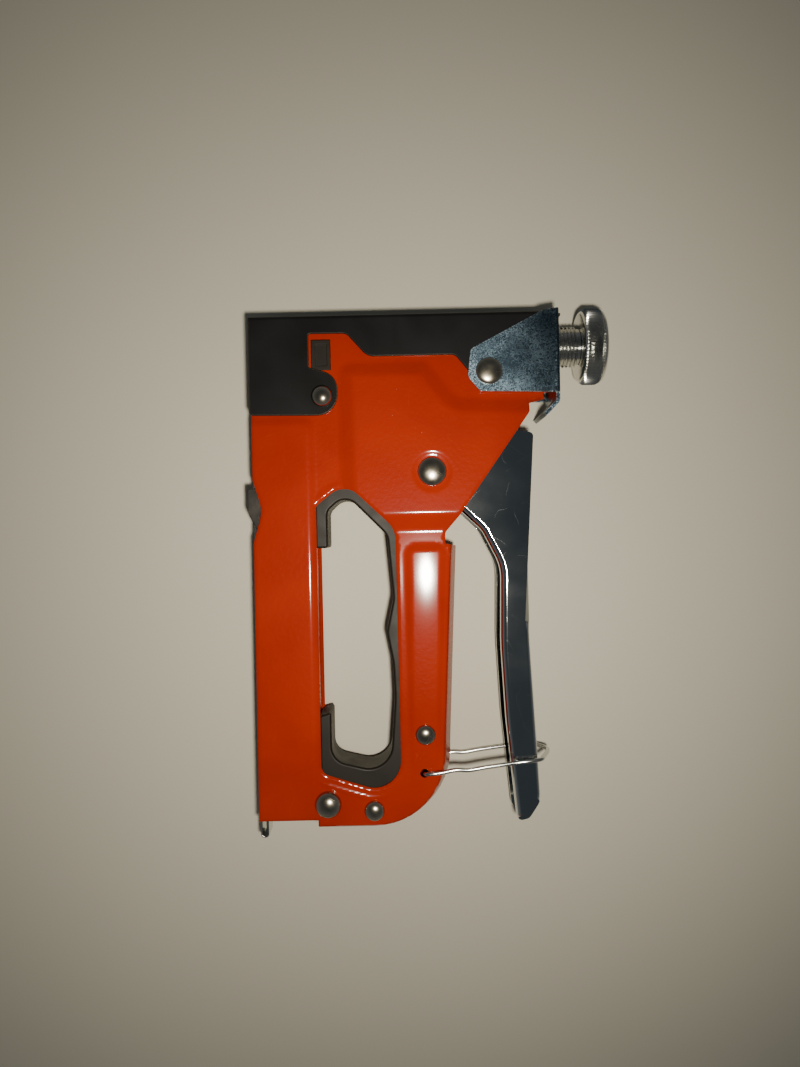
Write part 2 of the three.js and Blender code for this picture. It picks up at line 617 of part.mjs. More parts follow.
// Two domed heads on one shank.
function rivet({ shank, head, face, top, ...place }) {
  const seat = face + 0.1;
  const dome = [];
  const steps = 3;
  for (let k = 0; k <= steps; k += 1) {
    const angle = (Math.PI / 2) * (k / steps);
    dome.push([head * Math.cos(angle), seat + 0.3 + (top - seat - 0.3) * Math.sin(angle)]);
  }
  dome[steps][0] = 0;
  const nearSide = [[shank, seat], [head, seat], ...dome];
  const farSide = nearSide.map(([r, z]) => [r, -z]).reverse();
  return turnedAcross([...farSide, ...nearSide], place);
}

// ---------------------------------------------------------------- assembly

const gun = new THREE.Group();
gun.name = 'staple_gun';

function add(name, solid, material) {
  const mesh = new THREE.Mesh(toGeometry(solid), material);
  mesh.name = name;
  gun.add(mesh);
}

add('left_shell', shell(1), ORANGE_PAINT);
add('right_shell', shell(-1), ORANGE_PAINT);
add('nose_cap', noseCap(), BLACK_PAINT);
add('top_bracket', topBracket(), GALVANISED);
add('adjuster_nut', adjusterNut(), BRIGHT_ZINC);
add('adjuster_screw', adjusterScrew(), BRIGHT_ZINC);
add('adjuster_knob', adjusterKnob(), BRIGHT_ZINC);
add('spring_seat', springSeat(), BRIGHT_ZINC);
add('power_spring', powerSpring(), SPRING_STEEL);
add('driver_blade', driverBlade(), SPRING_STEEL);
add('driver_guide', driverGuide(), BRIGHT_ZINC);
add('driver_carrier', driverCarrier(), DARK_STEEL);
add('bumper', bumper(), RUBBER);
add('lever', lever(), CHROME);
add('lift_pin', liftPin(), SPRING_STEEL);
add('pivot_bush', sleeve(PIVOT, RIVETS.pivot_rivet.shank + 0.2, 4.6, LEVER_INSIDE - SEAT), BRIGHT_ZINC);
add('lever_return_spring', leverReturnSpring(), SPRING_STEEL);
add('wire_latch', wireLatch(), BRIGHT_ZINC);
add('grip_liner', gripLiner(), RUBBER);
add('magazine_channel', magazineChannel(), BRIGHT_ZINC);
add('staple_rail', stapleRail(), BRIGHT_ZINC);
add('rail_pull_tab', railPullTab(), BRIGHT_ZINC);
add('follower_rod', followerRod(), SPRING_STEEL);
add('follower', follower(), BRIGHT_ZINC);
add('follower_spring', followerSpring(), SPRING_STEEL);
add('magazine_catch', magazineCatch(), DARK_STEEL);
add('catch_pin', catchPin(), DARK_STEEL);
for (const [name, values] of Object.entries(RIVETS)) {
  add(name, rivet(values), NICKEL);
}
const SPACER_RADIUS = 2.8;
const SPACER_FACES = { handle: FACE_HANDLE, rear_small: FACE_HANDLE, rear_large: FACE_FRONT };
for (const [place, face] of Object.entries(SPACER_FACES)) {
  const rivetInside = RIVETS[`${place}_rivet`];
  const bore = rivetInside.shank + SEAT;
  add(`${place}_spacer`, sleeve(rivetInside, bore, SPACER_RADIUS, face - SHEET - SEAT), BRIGHT_ZINC);
}

const bounds = new THREE.Box3().setFromObject(gun);
const middle = bounds.getCenter(new THREE.Vector3());
gun.position.set(-middle.x, -middle.y, -bounds.min.z);

export default gun;
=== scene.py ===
# %% [markdown]
# # A hand staple gun, piece by piece
# This lesson dresses a packed staple gun.  The frame already holds every solid, joint and size; here each
# visible piece is modelled again as the real one is made: pressed sheet, turned steel, bent wire, moulded
# rubber.  Everything is drawn in millimetres in the gun's own directions, which keeps the numbers close to
# a workshop drawing, and is turned into metres only when a piece is finished.

# %% Load the frame and keep its box
import json
import math

import bpy
import numpy as np
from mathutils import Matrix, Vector, geometry

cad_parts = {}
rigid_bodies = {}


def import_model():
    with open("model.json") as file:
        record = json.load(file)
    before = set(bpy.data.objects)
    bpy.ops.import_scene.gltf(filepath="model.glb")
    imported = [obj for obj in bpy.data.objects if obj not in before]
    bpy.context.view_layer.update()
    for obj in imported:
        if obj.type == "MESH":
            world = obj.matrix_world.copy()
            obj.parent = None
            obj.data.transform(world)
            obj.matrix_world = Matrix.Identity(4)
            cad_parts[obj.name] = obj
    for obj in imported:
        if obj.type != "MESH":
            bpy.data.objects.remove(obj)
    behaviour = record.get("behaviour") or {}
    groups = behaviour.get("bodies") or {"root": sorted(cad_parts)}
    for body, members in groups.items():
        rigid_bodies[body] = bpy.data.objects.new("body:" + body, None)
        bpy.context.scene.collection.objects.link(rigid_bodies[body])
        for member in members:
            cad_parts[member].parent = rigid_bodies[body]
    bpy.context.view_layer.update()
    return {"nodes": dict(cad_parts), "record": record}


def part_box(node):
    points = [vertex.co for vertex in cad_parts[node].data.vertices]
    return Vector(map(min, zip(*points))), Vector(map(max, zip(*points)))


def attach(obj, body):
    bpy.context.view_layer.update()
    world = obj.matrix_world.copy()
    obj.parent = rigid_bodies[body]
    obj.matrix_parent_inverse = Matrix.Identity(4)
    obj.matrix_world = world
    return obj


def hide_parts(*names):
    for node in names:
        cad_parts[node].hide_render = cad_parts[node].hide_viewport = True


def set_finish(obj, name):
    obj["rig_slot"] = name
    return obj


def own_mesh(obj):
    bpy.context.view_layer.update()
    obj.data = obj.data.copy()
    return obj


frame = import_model()
print("frame with", len(frame["nodes"]), "nodes")

# %% [markdown]
# ## The gun's own directions
# u is the height above the working face (+X), w the distance behind the nose (-Y), and z the distance from
# the seam between the two shells (+Z).  The nose cap touches u = 0 and w = 0, and the knob is centred on
# the seam, so those two pieces fix the drawing's place in the frame.

# %% Place of the drawing
MM = 0.001
cap_low, cap_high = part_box("nose_cap")
knob_low, knob_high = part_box("adjuster_knob")
BASE_X = cap_low[0]
NOSE_Y = cap_high[1]
SEAM_Z = (knob_low[2] + knob_high[2]) / 2


def at(u, w, z=0.0):
    """A point of the drawing, in metres in the frame."""
    return Vector((BASE_X + u * MM, NOSE_Y - w * MM, SEAM_Z + z * MM))


print("working face at x =", round(BASE_X, 4), "nose at y =", round(NOSE_Y, 4),
      "seam at z =", round(SEAM_Z, 4))

# %% [markdown]
# ## Bench tools
# The same few steps make most pieces: draw an outline with rounded corners, give it depth, cut it, round
# its edges, and put it in place.  Each step is a function around Blender's own operators, which act on
# whatever is selected, so every one starts by selecting only its piece.

# %% Selecting and finishing
def only(piece):
    """Selects one object and nothing else."""
    bpy.ops.object.select_all(action="DESELECT")
    piece.select_set(True)
    bpy.context.view_layer.objects.active = piece
    return piece


def in_edit(piece, *steps):
    """Runs edit mode steps with the whole mesh selected first."""
    only(piece)
    bpy.ops.object.mode_set(mode="EDIT")
    bpy.ops.mesh.select_all(action="SELECT")
    for step in steps:
        step()
    bpy.ops.object.mode_set(mode="OBJECT")
    return piece


def face_out(piece):
    return in_edit(piece, lambda: bpy.ops.mesh.normals_make_consistent(inside=False))


def apply_modifier(piece, kind, **values):
    """Adds a modifier, sets it up and applies it."""
    modifier = piece.modifiers.new(kind.lower(), kind)
    for key, value in values.items():
        setattr(modifier, key, value)
    only(piece)
    bpy.ops.object.modifier_apply(modifier=modifier.name)
    return piece


def soften(piece, degrees=32):
    """Smooth shading, with creases kept sharp past an angle."""
    only(piece)
    bpy.ops.object.shade_smooth_by_angle(angle=math.radians(degrees), keep_sharp_edges=False)
    return piece


def place(piece):
    """Turns a piece drawn in millimetres into metres, in the frame, with its object left at the origin."""
    only(piece)
    piece.scale = (MM, MM, MM)
    piece.location = at(0, 0, 0)
    bpy.ops.object.transform_apply(location=True, rotation=True, scale=True)
    return piece


# %% Outlines with rounded corners
def rounded(corners, step=8.0):
    """The points of an outline given as [u, w, radius], each corner rounded by an arc."""
    points = []
    count = len(corners)
    for i, corner in enumerate(corners):
        here = Vector((corner[0], -corner[1]))
        radius = corner[2] if len(corner) > 2 else 0
        if radius == 0:
            points.append(here)
            continue
        before = (Vector((corners[i - 1][0], -corners[i - 1][1])) - here).normalized()
        after = (Vector((corners[(i + 1) % count][0], -corners[(i + 1) % count][1])) - here).normalized()
        half = math.acos(max(-1, min(1, before.dot(after)))) / 2
        centre = here + (before + after).normalized() * (radius / math.sin(half))
        start = here + before * (radius / math.tan(half)) - centre
        turn = math.pi - 2 * half
        if after.x * before.y - after.y * before.x < 0:
            turn = -turn
        steps = max(1, math.ceil(math.degrees(abs(turn)) / step))
        for k in range(steps + 1):
            c, s = math.cos(turn * k / steps), math.sin(turn * k / steps)
            points.append(centre + Vector((c * start.x - s * start.y, s * start.x + c * start.y)))
    return points


def plate(name, corners, low, high, step=8.0):
    """A flat solid: a disc with one vertex per outline point, moved onto the outline, then extruded."""
    points = rounded(corners, step)
    bpy.ops.object.select_all(action="DESELECT")
    bpy.ops.mesh.primitive_circle_add(vertices=len(points), radius=1, fill_type="NGON")
    piece = bpy.context.object
    piece.name = name
    for vertex, point in zip(piece.data.vertices, points):
        vertex.co = (point.x, point.y, low)
    in_edit(piece, lambda: bpy.ops.mesh.extrude_region_move(
        TRANSFORM_OT_translate={"value": (0, 0, high - low)}))
    return face_out(piece)


def block(name, u, w, half, low=None):
    """A box between two heights and two setbacks, symmetric about the seam unless low is given."""
    bottom = -half if low is None else low
    bpy.ops.object.select_all(action="DESELECT")
    bpy.ops.mesh.primitive_cube_add(
        size=1, location=((u[0] + u[1]) / 2, -(w[0] + w[1]) / 2, (bottom + half) / 2))
    piece = bpy.context.object
    piece.name = name
    piece.scale = (u[1] - u[0], w[1] - w[0], half - bottom)
    bpy.ops.object.transform_apply(location=True, rotation=True, scale=True)
    return piece


def pin(name, u, w, radius, low, high, sides=32):
    bpy.ops.object.select_all(action="DESELECT")
    bpy.ops.mesh.primitive_cylinder_add(vertices=sides, radius=radius, depth=high - low,
                                        location=(u, -w, (low + high) / 2))
    piece = bpy.context.object
    piece.name = name
    bpy.ops.object.transform_apply(location=True, rotation=True, scale=True)
    return piece


# %% Cutting, joining and rounding
def combine(piece, tools, operation):
    for tool in tools:
        apply_modifier(piece, "BOOLEAN", operation=operation, solver="EXACT", object=tool)
        bpy.data.objects.remove(tool, do_unlink=True)
    return piece


def cut(piece, *tools):
    return combine(piece, tools, "DIFFERENCE")


def weld_on(piece, *tools):
    return combine(piece, tools, "UNION")


def clean(piece, distance=0.002):
    """Merges doubles, dissolves leftovers on flat faces and turns the normals out."""
    return in_edit(
        piece,
        lambda: bpy.ops.mesh.remove_doubles(threshold=distance),
        lambda: bpy.ops.mesh.dissolve_limited(angle_limit=math.radians(0.3)),
        lambda: bpy.ops.mesh.select_all(action="SELECT"),
        lambda: bpy.ops.mesh.normals_make_consistent(inside=False),
    )


def round_edges(piece, width, segments=2, degrees=30):
    """Breaks every edge sharper than an angle, as pressing, plating or tumbling does."""
    return apply_modifier(piece, "BEVEL", width=width, segments=segments, limit_method="ANGLE",
                          angle_limit=math.radians(degrees), miter_outer="MITER_ARC", use_clamp_overlap=True)


def stand_for(piece, node, slot, even=True):
    """Puts a finished piece in the place of its solid: same body, same finish slot.

    An even piece has its large faces shaded flat right up to their rounded edges."""
    if even:
        apply_modifier(piece, "WEIGHTED_NORMAL", mode="FACE_AREA", weight=100, keep_sharp=True)
    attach(piece, next(body for body, nodes in frame["record"]["behaviour"]["bodies"].items()
                        if node in nodes))
    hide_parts(node)
    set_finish(piece, slot)
    print(piece.name, "faces", len(piece.data.polygons))
    return piece

# %% [markdown]
# ## The two pressed shells
# Each half of the body is one sheet of steel, pressed in a die: a low level at the front, a raised strip
# over the magazine, a high cheek with sloping sides that makes room for the lever, and a crowned pad on the
# handle. Its folds run freely and fade out, which no primitive does.  So the sheet is laid out flat as a
# net of points that is dense along every fold and edge, each point is raised by the die's own shape, and
# the Solidify modifier gives the sheet its thickness.

# %% The die: where the levels lie
FACE = 8.9
SHEET = 1.0
SEAM_GAP = 0.15
SHELL_EDGE = [
    [0.4, 1.3], [102.4, 1.3], [102.4, 27], [94.2, 29], [94.1, 34, 2], [69.8, 68.4, 3], [65, 74, 2],
    [64.9, 77.8, 0.6], [69, 78.6], [67.7, 103.5, 60], [65.6, 146], [65, 174.8, 26], [20.1, 174.8],
    [20.1, 170], [0.2, 170], [0.4, 76, 3], [3.6, 65.5, 12], [0.4, 55, 3],
]
HANDLE_BACK = [[69, 78.6], [67.7, 103.5, 60], [65.6, 146], [65, 174.8, 26], [20.1, 174.8], [-30, 300]]
HAND_HOLE = [[21.5, 64.2, 2], [31.4, 56.4, 7], [48.2, 72.6, 9], [48.4, 162.8, 9], [21.4, 154.4, 3.5]]
BUMPER_WINDOW = [[20.9, 8.0, 0.3], [27.6, 8.0, 0.3], [27.6, 18.5, 0.3], [20.9, 18.5, 0.3]]
NUT_WINDOW = [[95.8, 1.7, 0.3], [101.2, 1.7, 0.3], [101.2, 20.2, 0.3], [95.8, 20.2, 0.3]]
STRIP = [[-20, 34], [21.9, 34, 4.5], [21.9, 210], [-20, 210]]
CHEEK = [[30, 16, 5], [60, 16, 5], [69.6, 28.6, 5], [120, 30.6], [120, 72.8], [30, 72.8, 6]]
PAD = [[51.3, 78, 3.5], [65.2, 78, 3], [64.2, 103.5, 60], [62, 146], [61.5, 170], [51.3, 170]]
PIVOT = (60.9, 53.5)
LATCH_HOLE = (56.2, 155)
RIVETS = {
    "pivot_rivet": (60.9, 53.5, 3.0, 4.85, 10.85, 13.0),
    "bracket_rivet": (80.7, 20.4, 1.6, 4.5, 11.35, 13.0),
    "cap_rivet": (24.5, 27.4, 1.8, 3.6, 10.2, 13.0),
    "handle_rivet": (56.8, 141.9, 2.0, 3.35, 9.9, 12.0),
    "rear_small_rivet": (39.1, 167, 2.0, 3.4, 9.7, 12.2),
    "rear_large_rivet": (23.6, 164.6, 2.0, 4.5, 9.7, 13.0),
}


# %% Distances to a line
def loop_of(corners, step=8.0):
    """An outline as an array of points, without repeats."""
    points = np.array([[p.x, p.y] for p in rounded(corners, step)])
    keep = np.linalg.norm(points - np.roll(points, 1, axis=0), axis=1) > 1e-4
    return points[keep]


def ring_of(place, radius, sides=24):
    turn = np.linspace(0, 2 * math.pi, sides, endpoint=False)
    return np.stack([place[0] + radius * np.cos(turn), -place[1] + radius * np.sin(turn)], axis=1)


def distance(points, line, closed=True):
    """Distance from each point to a line of points; inside a closed one it is positive, outside negative."""
    start = line if closed else line[:-1]
    end = np.roll(line, -1, axis=0) if closed else line[1:]
    nearest = np.full(len(points), 1e9)
    inside = np.zeros(len(points), bool)
    for a, b in zip(start, end):
        along = b - a
        t = np.clip(((points - a) @ along) / max(along @ along, 1e-12), 0, 1)
        nearest = np.minimum(nearest, np.linalg.norm(points - a - t[:, None] * along, axis=1))
        if closed and a[1] != b[1]:
            crosses = (a[1] > points[:, 1]) != (b[1] > points[:, 1])
            inside ^= crosses & (points[:, 0] < a[0] + (points[:, 1] - a[1]) * along[0] / along[1])
    return np.where(inside, nearest, -nearest) if closed else nearest


def ramp(depth, width, fold):
    """0 outside a level's edge, 1 past its slope, with both folds rounded."""
    def bent(x):
        return np.where(x < -fold, 0, np.where(x > fold, x, (x + fold) ** 2 / (4 * fold)))
    return (bent(depth) - bent(depth - width)) / width


def soft_max(a, b, blend):
    mix = np.clip(0.5 + 0.5 * (a - b) / blend, 0, 1)
    return b + (a - b) * mix + blend * mix * (1 - mix)


def fade(x, start, end):
    t = np.clip((x - start) / (end - start), 0, 1)
    return t * t * (3 - 2 * t)


# %% The die's height at any point
edge_loop = loop_of(SHELL_EDGE)
hole_loop = loop_of(HAND_HOLE)
back_line = np.array([[p.x, p.y] for p in rounded(HANDLE_BACK)[:-1]])
BACK_SLOPE = 3.7
CUT_ROLL = 0.5


def die_height(points):
    """Outer height of the pressed sheet above the seam."""
    u = points[:, 0]
    w = -points[:, 1]
    strip = 0.9 * ramp(distance(points, loop_of(STRIP)), 2.7, 0.55)
    cheek = 2.3 * ramp(distance(points, loop_of(CHEEK)), 5.0, 0.9)
    crown = 0.14 * np.clip(1 - ((u - 57.8) / 7) ** 2, 0, 1)
    pad = (0.75 + crown) * ramp(distance(points, loop_of(PAD)), 1.6, 0.6) * (1 - 0.6 * fade(w, 128, 152))
    to_hole = -distance(points, hole_loop)
    rim = 0.35 * ramp(3.0 - to_hole, 1.3, 0.4) * (1 - fade(w, 64, 72)) * (1 - fade(u, 36, 42))
    bead = (0.32 * np.exp(-((to_hole - 3.2) / 0.55) ** 2) * fade(w, 153, 158)
            * fade(u, 19, 25) * (1 - fade(u, 38, 46)))
    rear = 0.9 * fade(w, 146, 168)
    height = FACE + bead + soft_max(soft_max(np.maximum(strip, rear), cheek, 0.1), np.maximum(pad, rim), 0.1)
    height -= 0.35 * (1 - ramp(np.hypot(u - PIVOT[0], w - PIVOT[1]) - 5.6, 1.2, 0.3))
    wall = SEAM_GAP + BACK_SLOPE * distance(points, back_line, closed=False)
    height = -soft_max(-height, -wall, 1.8)
    for to_cut in (to_hole, distance(points, edge_loop)):
        roll = np.clip(CUT_ROLL - to_cut, 0, CUT_ROLL)
        height -= np.where(wall > FACE, CUT_ROLL - np.sqrt(CUT_ROLL ** 2 - roll ** 2), 0) * 0.8
    return np.maximum(height, SEAM_GAP)


# %% The net of points
def resample(line, spacing, closed=True):
    """Points spread along a line, its corners kept."""
    ends = np.roll(line, -1, axis=0) if closed else line[1:]
    starts = line if closed else line[:-1]
    pieces = []
    for a, b in zip(starts, ends):
        steps = max(1, round(float(np.linalg.norm(b - a)) / spacing))
        pieces.append(a + (b - a) * (np.arange(steps) / steps)[:, None])
    return np.concatenate(pieces)


def beside(line, offset, spacing, closed=True):
    """Points along a line, moved sideways."""
    points = resample(line, spacing, closed)
    ahead = np.roll(points, -1, axis=0) - np.roll(points, 1, axis=0)
    normal = np.stack([ahead[:, 1], -ahead[:, 0]], axis=1)
    normal /= np.maximum(np.linalg.norm(normal, axis=1), 1e-9)[:, None]
    return points + normal * offset


def thinned(groups, gap):
    """Keeps each point of each group that isn't closer than its gap to one kept before it."""
    kept = []
    cells = {}
    for points in groups:
        for point in points:
            cell = (int(point[0] // gap), int(point[1] // gap))
            near = (q for i in (-1, 0, 1) for j in (-1, 0, 1)
                    for q in cells.get((cell[0] + i, cell[1] + j), ()))
            if all((point[0] - q[0]) ** 2 + (point[1] - q[1]) ** 2 > gap * gap for q in near):
                cells.setdefault(cell, []).append(point)
                kept.append(point)
    return np.array(kept)


def sheet_net(edge, holes, guides, spacing):
    """Triangles between an edge and its holes, with points along the guides and a field of points between."""
    borders = [resample(loop, spacing) for loop in (edge, *holes)]
    fixed = np.concatenate(borders)
    edges = []
    first = 0
    for border in borders:
        count = len(border)
        edges += [(first + i, first + (i + 1) % count) for i in range(count)]
        first += count
    low, high = fixed.min(0), fixed.max(0)
    rows = np.arange(low[1], high[1], spacing * math.sqrt(3) / 2)
    field = np.array([[x + (i % 2) * spacing / 2, y] for i, y in enumerate(rows)
                      for x in np.arange(low[0], high[0], spacing)])
    points = thinned([fixed, *guides, field], spacing * 0.62)
    free = points[len(thinned([fixed], spacing * 0.62)):]
    clear = distance(free, edge) > spacing * 0.3
    for hole in holes:
        clear &= distance(free, hole) < -spacing * 0.3
    everything = np.concatenate([fixed, free[clear]])
    flat = [Vector(p) for p in everything]
    laid, _, faces, *_ = geometry.delaunay_2d_cdt(flat, edges, [], 0, 1e-5)
    points = np.array([[p.x, p.y] for p in laid])
    faces = np.array([f for f in faces if len(f) == 3])
    middle = points[faces].mean(axis=1)
    inside = distance(middle, edge) > 0
    for hole in holes:
        inside &= distance(middle, hole) < 0
    return points, faces[inside]


# %% Pressing the sheet
FOLD_OFFSETS = {
    0.55: (-0.55, 0, 0.55, 2.15, 2.7, 3.25),
    0.9: (-0.9, 0, 0.9, 4.1, 5.0, 5.9),
    0.6: (-0.6, 0, 0.6, 1.2, 1.8),
}


def shell_guides(spacing):
    guides = []
    for corners, fold in ((STRIP, 0.55), (CHEEK, 0.9), (PAD, 0.6)):
        for offset in FOLD_OFFSETS[fold]:
            guides.append(beside(loop_of(corners), -offset, spacing))
    for offset in (0.12, 0.3, 0.55):
        guides.append(beside(edge_loop, -offset, spacing))
        guides.append(beside(hole_loop, offset, spacing))
    for offset in (2.1, 2.65, 3.2, 3.75, 4.3):
        guides.append(beside(hole_loop, offset, spacing))
    for radius in (5.3, 5.6, 6.2, 6.8, 7.1):
        guides.append(ring_of(PIVOT, radius, 64))
    for k in range(1, 12):
        guides.append(beside(back_line, -0.28 * k, spacing, closed=False)[1:-1])
    return guides


def pressed_shell(name, side):
    """One half of the body; side is 1 for the half that faces up."""
    holes = [hole_loop, loop_of(BUMPER_WINDOW), loop_of(NUT_WINDOW), ring_of(LATCH_HOLE, 1.5)]
    holes += [ring_of(values[:2], values[2] + 0.15) for values in RIVETS.values()]
    points, faces = sheet_net(edge_loop, holes, shell_guides(0.7), 0.7)
    height = die_height(points)
    mesh = bpy.data.meshes.new(name)
    mesh.from_pydata(np.column_stack([points, height * side]).tolist(), [], faces.tolist())
    piece = bpy.data.objects.new(name, mesh)
    bpy.context.collection.objects.link(piece)
    only(piece)
    in_edit(piece, lambda: bpy.ops.mesh.remove_doubles(threshold=0.0005))
    up = sum(polygon.normal.z for polygon in piece.data.polygons) * side
    if up < 0:
        in_edit(piece, lambda: bpy.ops.mesh.flip_normals())
    apply_modifier(piece, "SOLIDIFY", thickness=SHEET, offset=-1, use_rim=True)
    return piece


for name, side in (("left_shell_pressing", 1), ("right_shell_pressing", -1)):
    shell = pressed_shell(name, side)
    soften(shell, 50)
    place(shell)
    stand_for(shell, "left_shell" if side > 0 else "right_shell", "orange_paint", even=False)


# %% [markdown]
# ## Nose cap and top bracket
# The cap is one strip of black painted sheet folded round the front of the gun, with a scalloped outline that
# leaves a window to the rubber bumper.  The bracket is folded the other way, over the top, and its web
# carries the adjuster.  A folded sheet can be drawn as a solid plate with its inside cut away; the bend edges
# then get a large radius, and every cut edge a small one, so that both catch the light as real sheet does.

# %% Bending chosen edges
def bend(piece, test, radius, segments=5, clamp=True):
    """Rounds the edges whose two ends pass a test and lie on one side of the seam."""
    in_edit(piece, lambda: bpy.ops.mesh.select_mode(type="EDGE"),
            lambda: bpy.ops.mesh.select_all(action="DESELECT"))
    corners = piece.data.vertices
    chosen = 0
    for edge in piece.data.edges:
        start, end = (corners[i].co for i in edge.vertices)
        edge.select = test(start) and test(end) and start.z * end.z > 0
        chosen += edge.select
    bpy.ops.object.mode_set(mode="EDIT")
    bpy.ops.mesh.bevel(offset=radius, segments=segments, affect="EDGES", profile=0.5, clamp_overlap=clamp)
    bpy.ops.object.mode_set(mode="OBJECT")
    print(piece.name, "bent along", chosen, "edges")
    return clean(piece)


def close(a, b, gap=0.06):
    return abs(a - b) < gap


def rod(name, radius, u, w=10.6, z=0.0, sides=48):
    """A round bar along the height."""
    bpy.ops.object.select_all(action="DESELECT")
    bpy.ops.mesh.primitive_cylinder_add(vertices=sides, radius=radius, depth=u[1] - u[0],
                                        location=((u[0] + u[1]) / 2, -w, z), rotation=(0, math.pi / 2, 0))
    piece = bpy.context.object
    piece.name = name
    bpy.ops.object.transform_apply(location=True, rotation=True, scale=True)
    return piece


# %% Nose cap
CAP_HALF = 10.2
CAP_EDGE = [
    [0, 0], [0, 33.4, 1.2], [20.9, 33.8, 2], [29.7, 33.8, 7], [29.7, 20.4, 6], [20.3, 17.6], [20.3, 6.3, 0.8],
    [33, 6.4, 3], [40, 14.3, 5], [69.5, 14.3, 3], [74, 20, 2], [80, 26.5, 3], [102.8, 26.5], [102.8, 0],
]


def nose_cap():
    piece = plate("nose_cap_pressing", CAP_EDGE, -CAP_HALF, CAP_HALF)
    cut(piece, block("hollow", (-5, 120), (SHEET, 60), CAP_HALF - SHEET))
    weld_on(piece, block("front_tab", (90, 106), (0, SHEET), 6))
    for rivet in ("cap_rivet", "bracket_rivet"):
        u, w, shank = RIVETS[rivet][:3]
        cut(piece, pin("hole", u, w, shank + 0.15, -20, 20))
    clean(piece)
    bend(piece, lambda v: close(v.y, 0) and close(abs(v.z), CAP_HALF), 1.5)
    bend(piece, lambda v: close(v.y, -SHEET) and close(abs(v.z), CAP_HALF - SHEET), 0.5, 3)
    round_edges(piece, 0.3, 3, 50)
    soften(piece)
    return stand_for(place(piece), "nose_cap", "black_paint")


nose_cap()

# %% Top bracket
BRACKET_HALF = 11.35
WEB_TOP = 104.5
WEB_BASE = WEB_TOP - 1.3
STEM_BORE = 7.3
EAR = [[WEB_TOP, -0.5], [99.3, 0.2, 1], [74.6, 12.9, 2.4], [73.6, 22.3, 3], [77.6, 27, 2], [WEB_TOP, 27.8]]
WEB = [
    [WEB_BASE, 1.25], [WEB_TOP, 1.25], [WEB_TOP, 30.8, 2.2], [99.8, 35.6], [98.8, 34.6],
    [WEB_BASE, 30.2, 1],
]


def top_bracket():
    piece = plate("top_bracket_pressing", EAR, -BRACKET_HALF, BRACKET_HALF)
    cut(piece, block("hollow", (60, WEB_BASE), (-2, 40), BRACKET_HALF - SHEET),
        block("front_gap", (60, 110), (-2, 1.25), BRACKET_HALF - SHEET))
    weld_on(piece, plate("web", WEB, SHEET - BRACKET_HALF, BRACKET_HALF - SHEET))
    cut(piece, rod("stem_hole", STEM_BORE, (90, 110)))
    clean(piece)
    bend(piece, lambda v: close(v.x, WEB_TOP) and close(abs(v.z), BRACKET_HALF), 1.4)
    round_edges(piece, 0.28, 3, 50)
    soften(piece)
    return stand_for(place(piece), "top_bracket", "galvanised")


top_bracket()

# %% [markdown]
# ## Turned pieces: adjuster, knob and rivets
# Anything that was turned on a lathe is drawn as half of its section and spun round its axis.  The knob's
# knurl is cut by pulling in every other row of its rim.  The screw's thread is a second solid: a small
# triangle swept along a helix by the Screw modifier, sunk a little into the core.

# %% Spinning a section
def line_piece(name, points, closed=False):
    """A mesh that is only a line of points."""
    mesh = bpy.data.meshes.new(name)
    edges = [(i, i + 1) for i in range(len(points) - 1)]
    if closed:
        edges.append((len(points) - 1, 0))
    mesh.from_pydata(points, edges, [])
    piece = bpy.data.objects.new(name, mesh)
    bpy.context.collection.objects.link(piece)
    return only(piece)


def turned(name, section, axis, place_of, steps=64, closed=False):
    """Spins a section of (radius, distance along) points round an axis through a place (u, w)."""
    u, w = place_of
    upright = axis == "u"
    centre = (0, -w, 0) if upright else (u, -w, 0)
    points = [(along, radius - w, 0) if upright else (u + radius, -w, along) for radius, along in section]
    piece = line_piece(name, points, closed)
    in_edit(
        piece,
        lambda: bpy.ops.mesh.spin(steps=steps, angle=2 * math.pi, center=centre,
                                  axis=(1, 0, 0) if upright else (0, 0, 1)),
        lambda: bpy.ops.mesh.select_all(action="SELECT"),
        lambda: bpy.ops.mesh.remove_doubles(threshold=0.0005),
    )
    return face_out(piece)


def arc_section(centre, radius, start, end, steps=4):
    """Points of an arc in a section, angles in degrees from the radius towards the axis's far end."""
    turns = [math.radians(start + (end - start) * k / steps) for k in range(steps + 1)]
    return [(centre[0] + radius * math.cos(t), centre[1] + radius * math.sin(t)) for t in turns]


# %% Knob
STEM_AXIS = (0, 10.6)
KNOB_RADIUS = 13
KNOB_TEETH = 64
KNURL_FROM = 12.6
KNURL_ROOT = 0.91
KNOB_MIDDLE = 117


def adjuster_knob():
    section = [(4.15, 113), (11.0, 113)]
    section += arc_section((11.0, 114.2), 1.2, -90, -30, 3)
    section += [(12.7, 114.4), (KNOB_RADIUS, 114.9), (KNOB_RADIUS, 119.0), (12.7, 119.5)]
    section += arc_section((11.2, 119.6), 1.4, 10, 90, 4)
    section += [(9.2, 121), (8.7, 120.5), (4.15, 120.5)]
    piece = turned("adjuster_knob_turned", section, "u", STEM_AXIS, steps=2 * KNOB_TEETH, closed=True)
    in_edit(piece, lambda: bpy.ops.mesh.select_mode(type="VERT"),
            lambda: bpy.ops.mesh.select_all(action="DESELECT"))
    for vertex in piece.data.vertices:
        y, z = vertex.co.y + STEM_AXIS[1], vertex.co.z
        column = round(math.atan2(z, y) / (math.pi / KNOB_TEETH))
        vertex.select = math.hypot(y, z) > KNURL_FROM and column % 2 == 1
    bpy.ops.object.mode_set(mode="EDIT")
    bpy.ops.transform.resize(value=(1, KNURL_ROOT, KNURL_ROOT),
                             center_override=(KNOB_MIDDLE, -STEM_AXIS[1], 0))
    bpy.ops.object.mode_set(mode="OBJECT")
    face_out(piece)
    soften(piece, 24)
    return stand_for(place(piece), "adjuster_knob", "bright_zinc", even=False)


adjuster_knob()

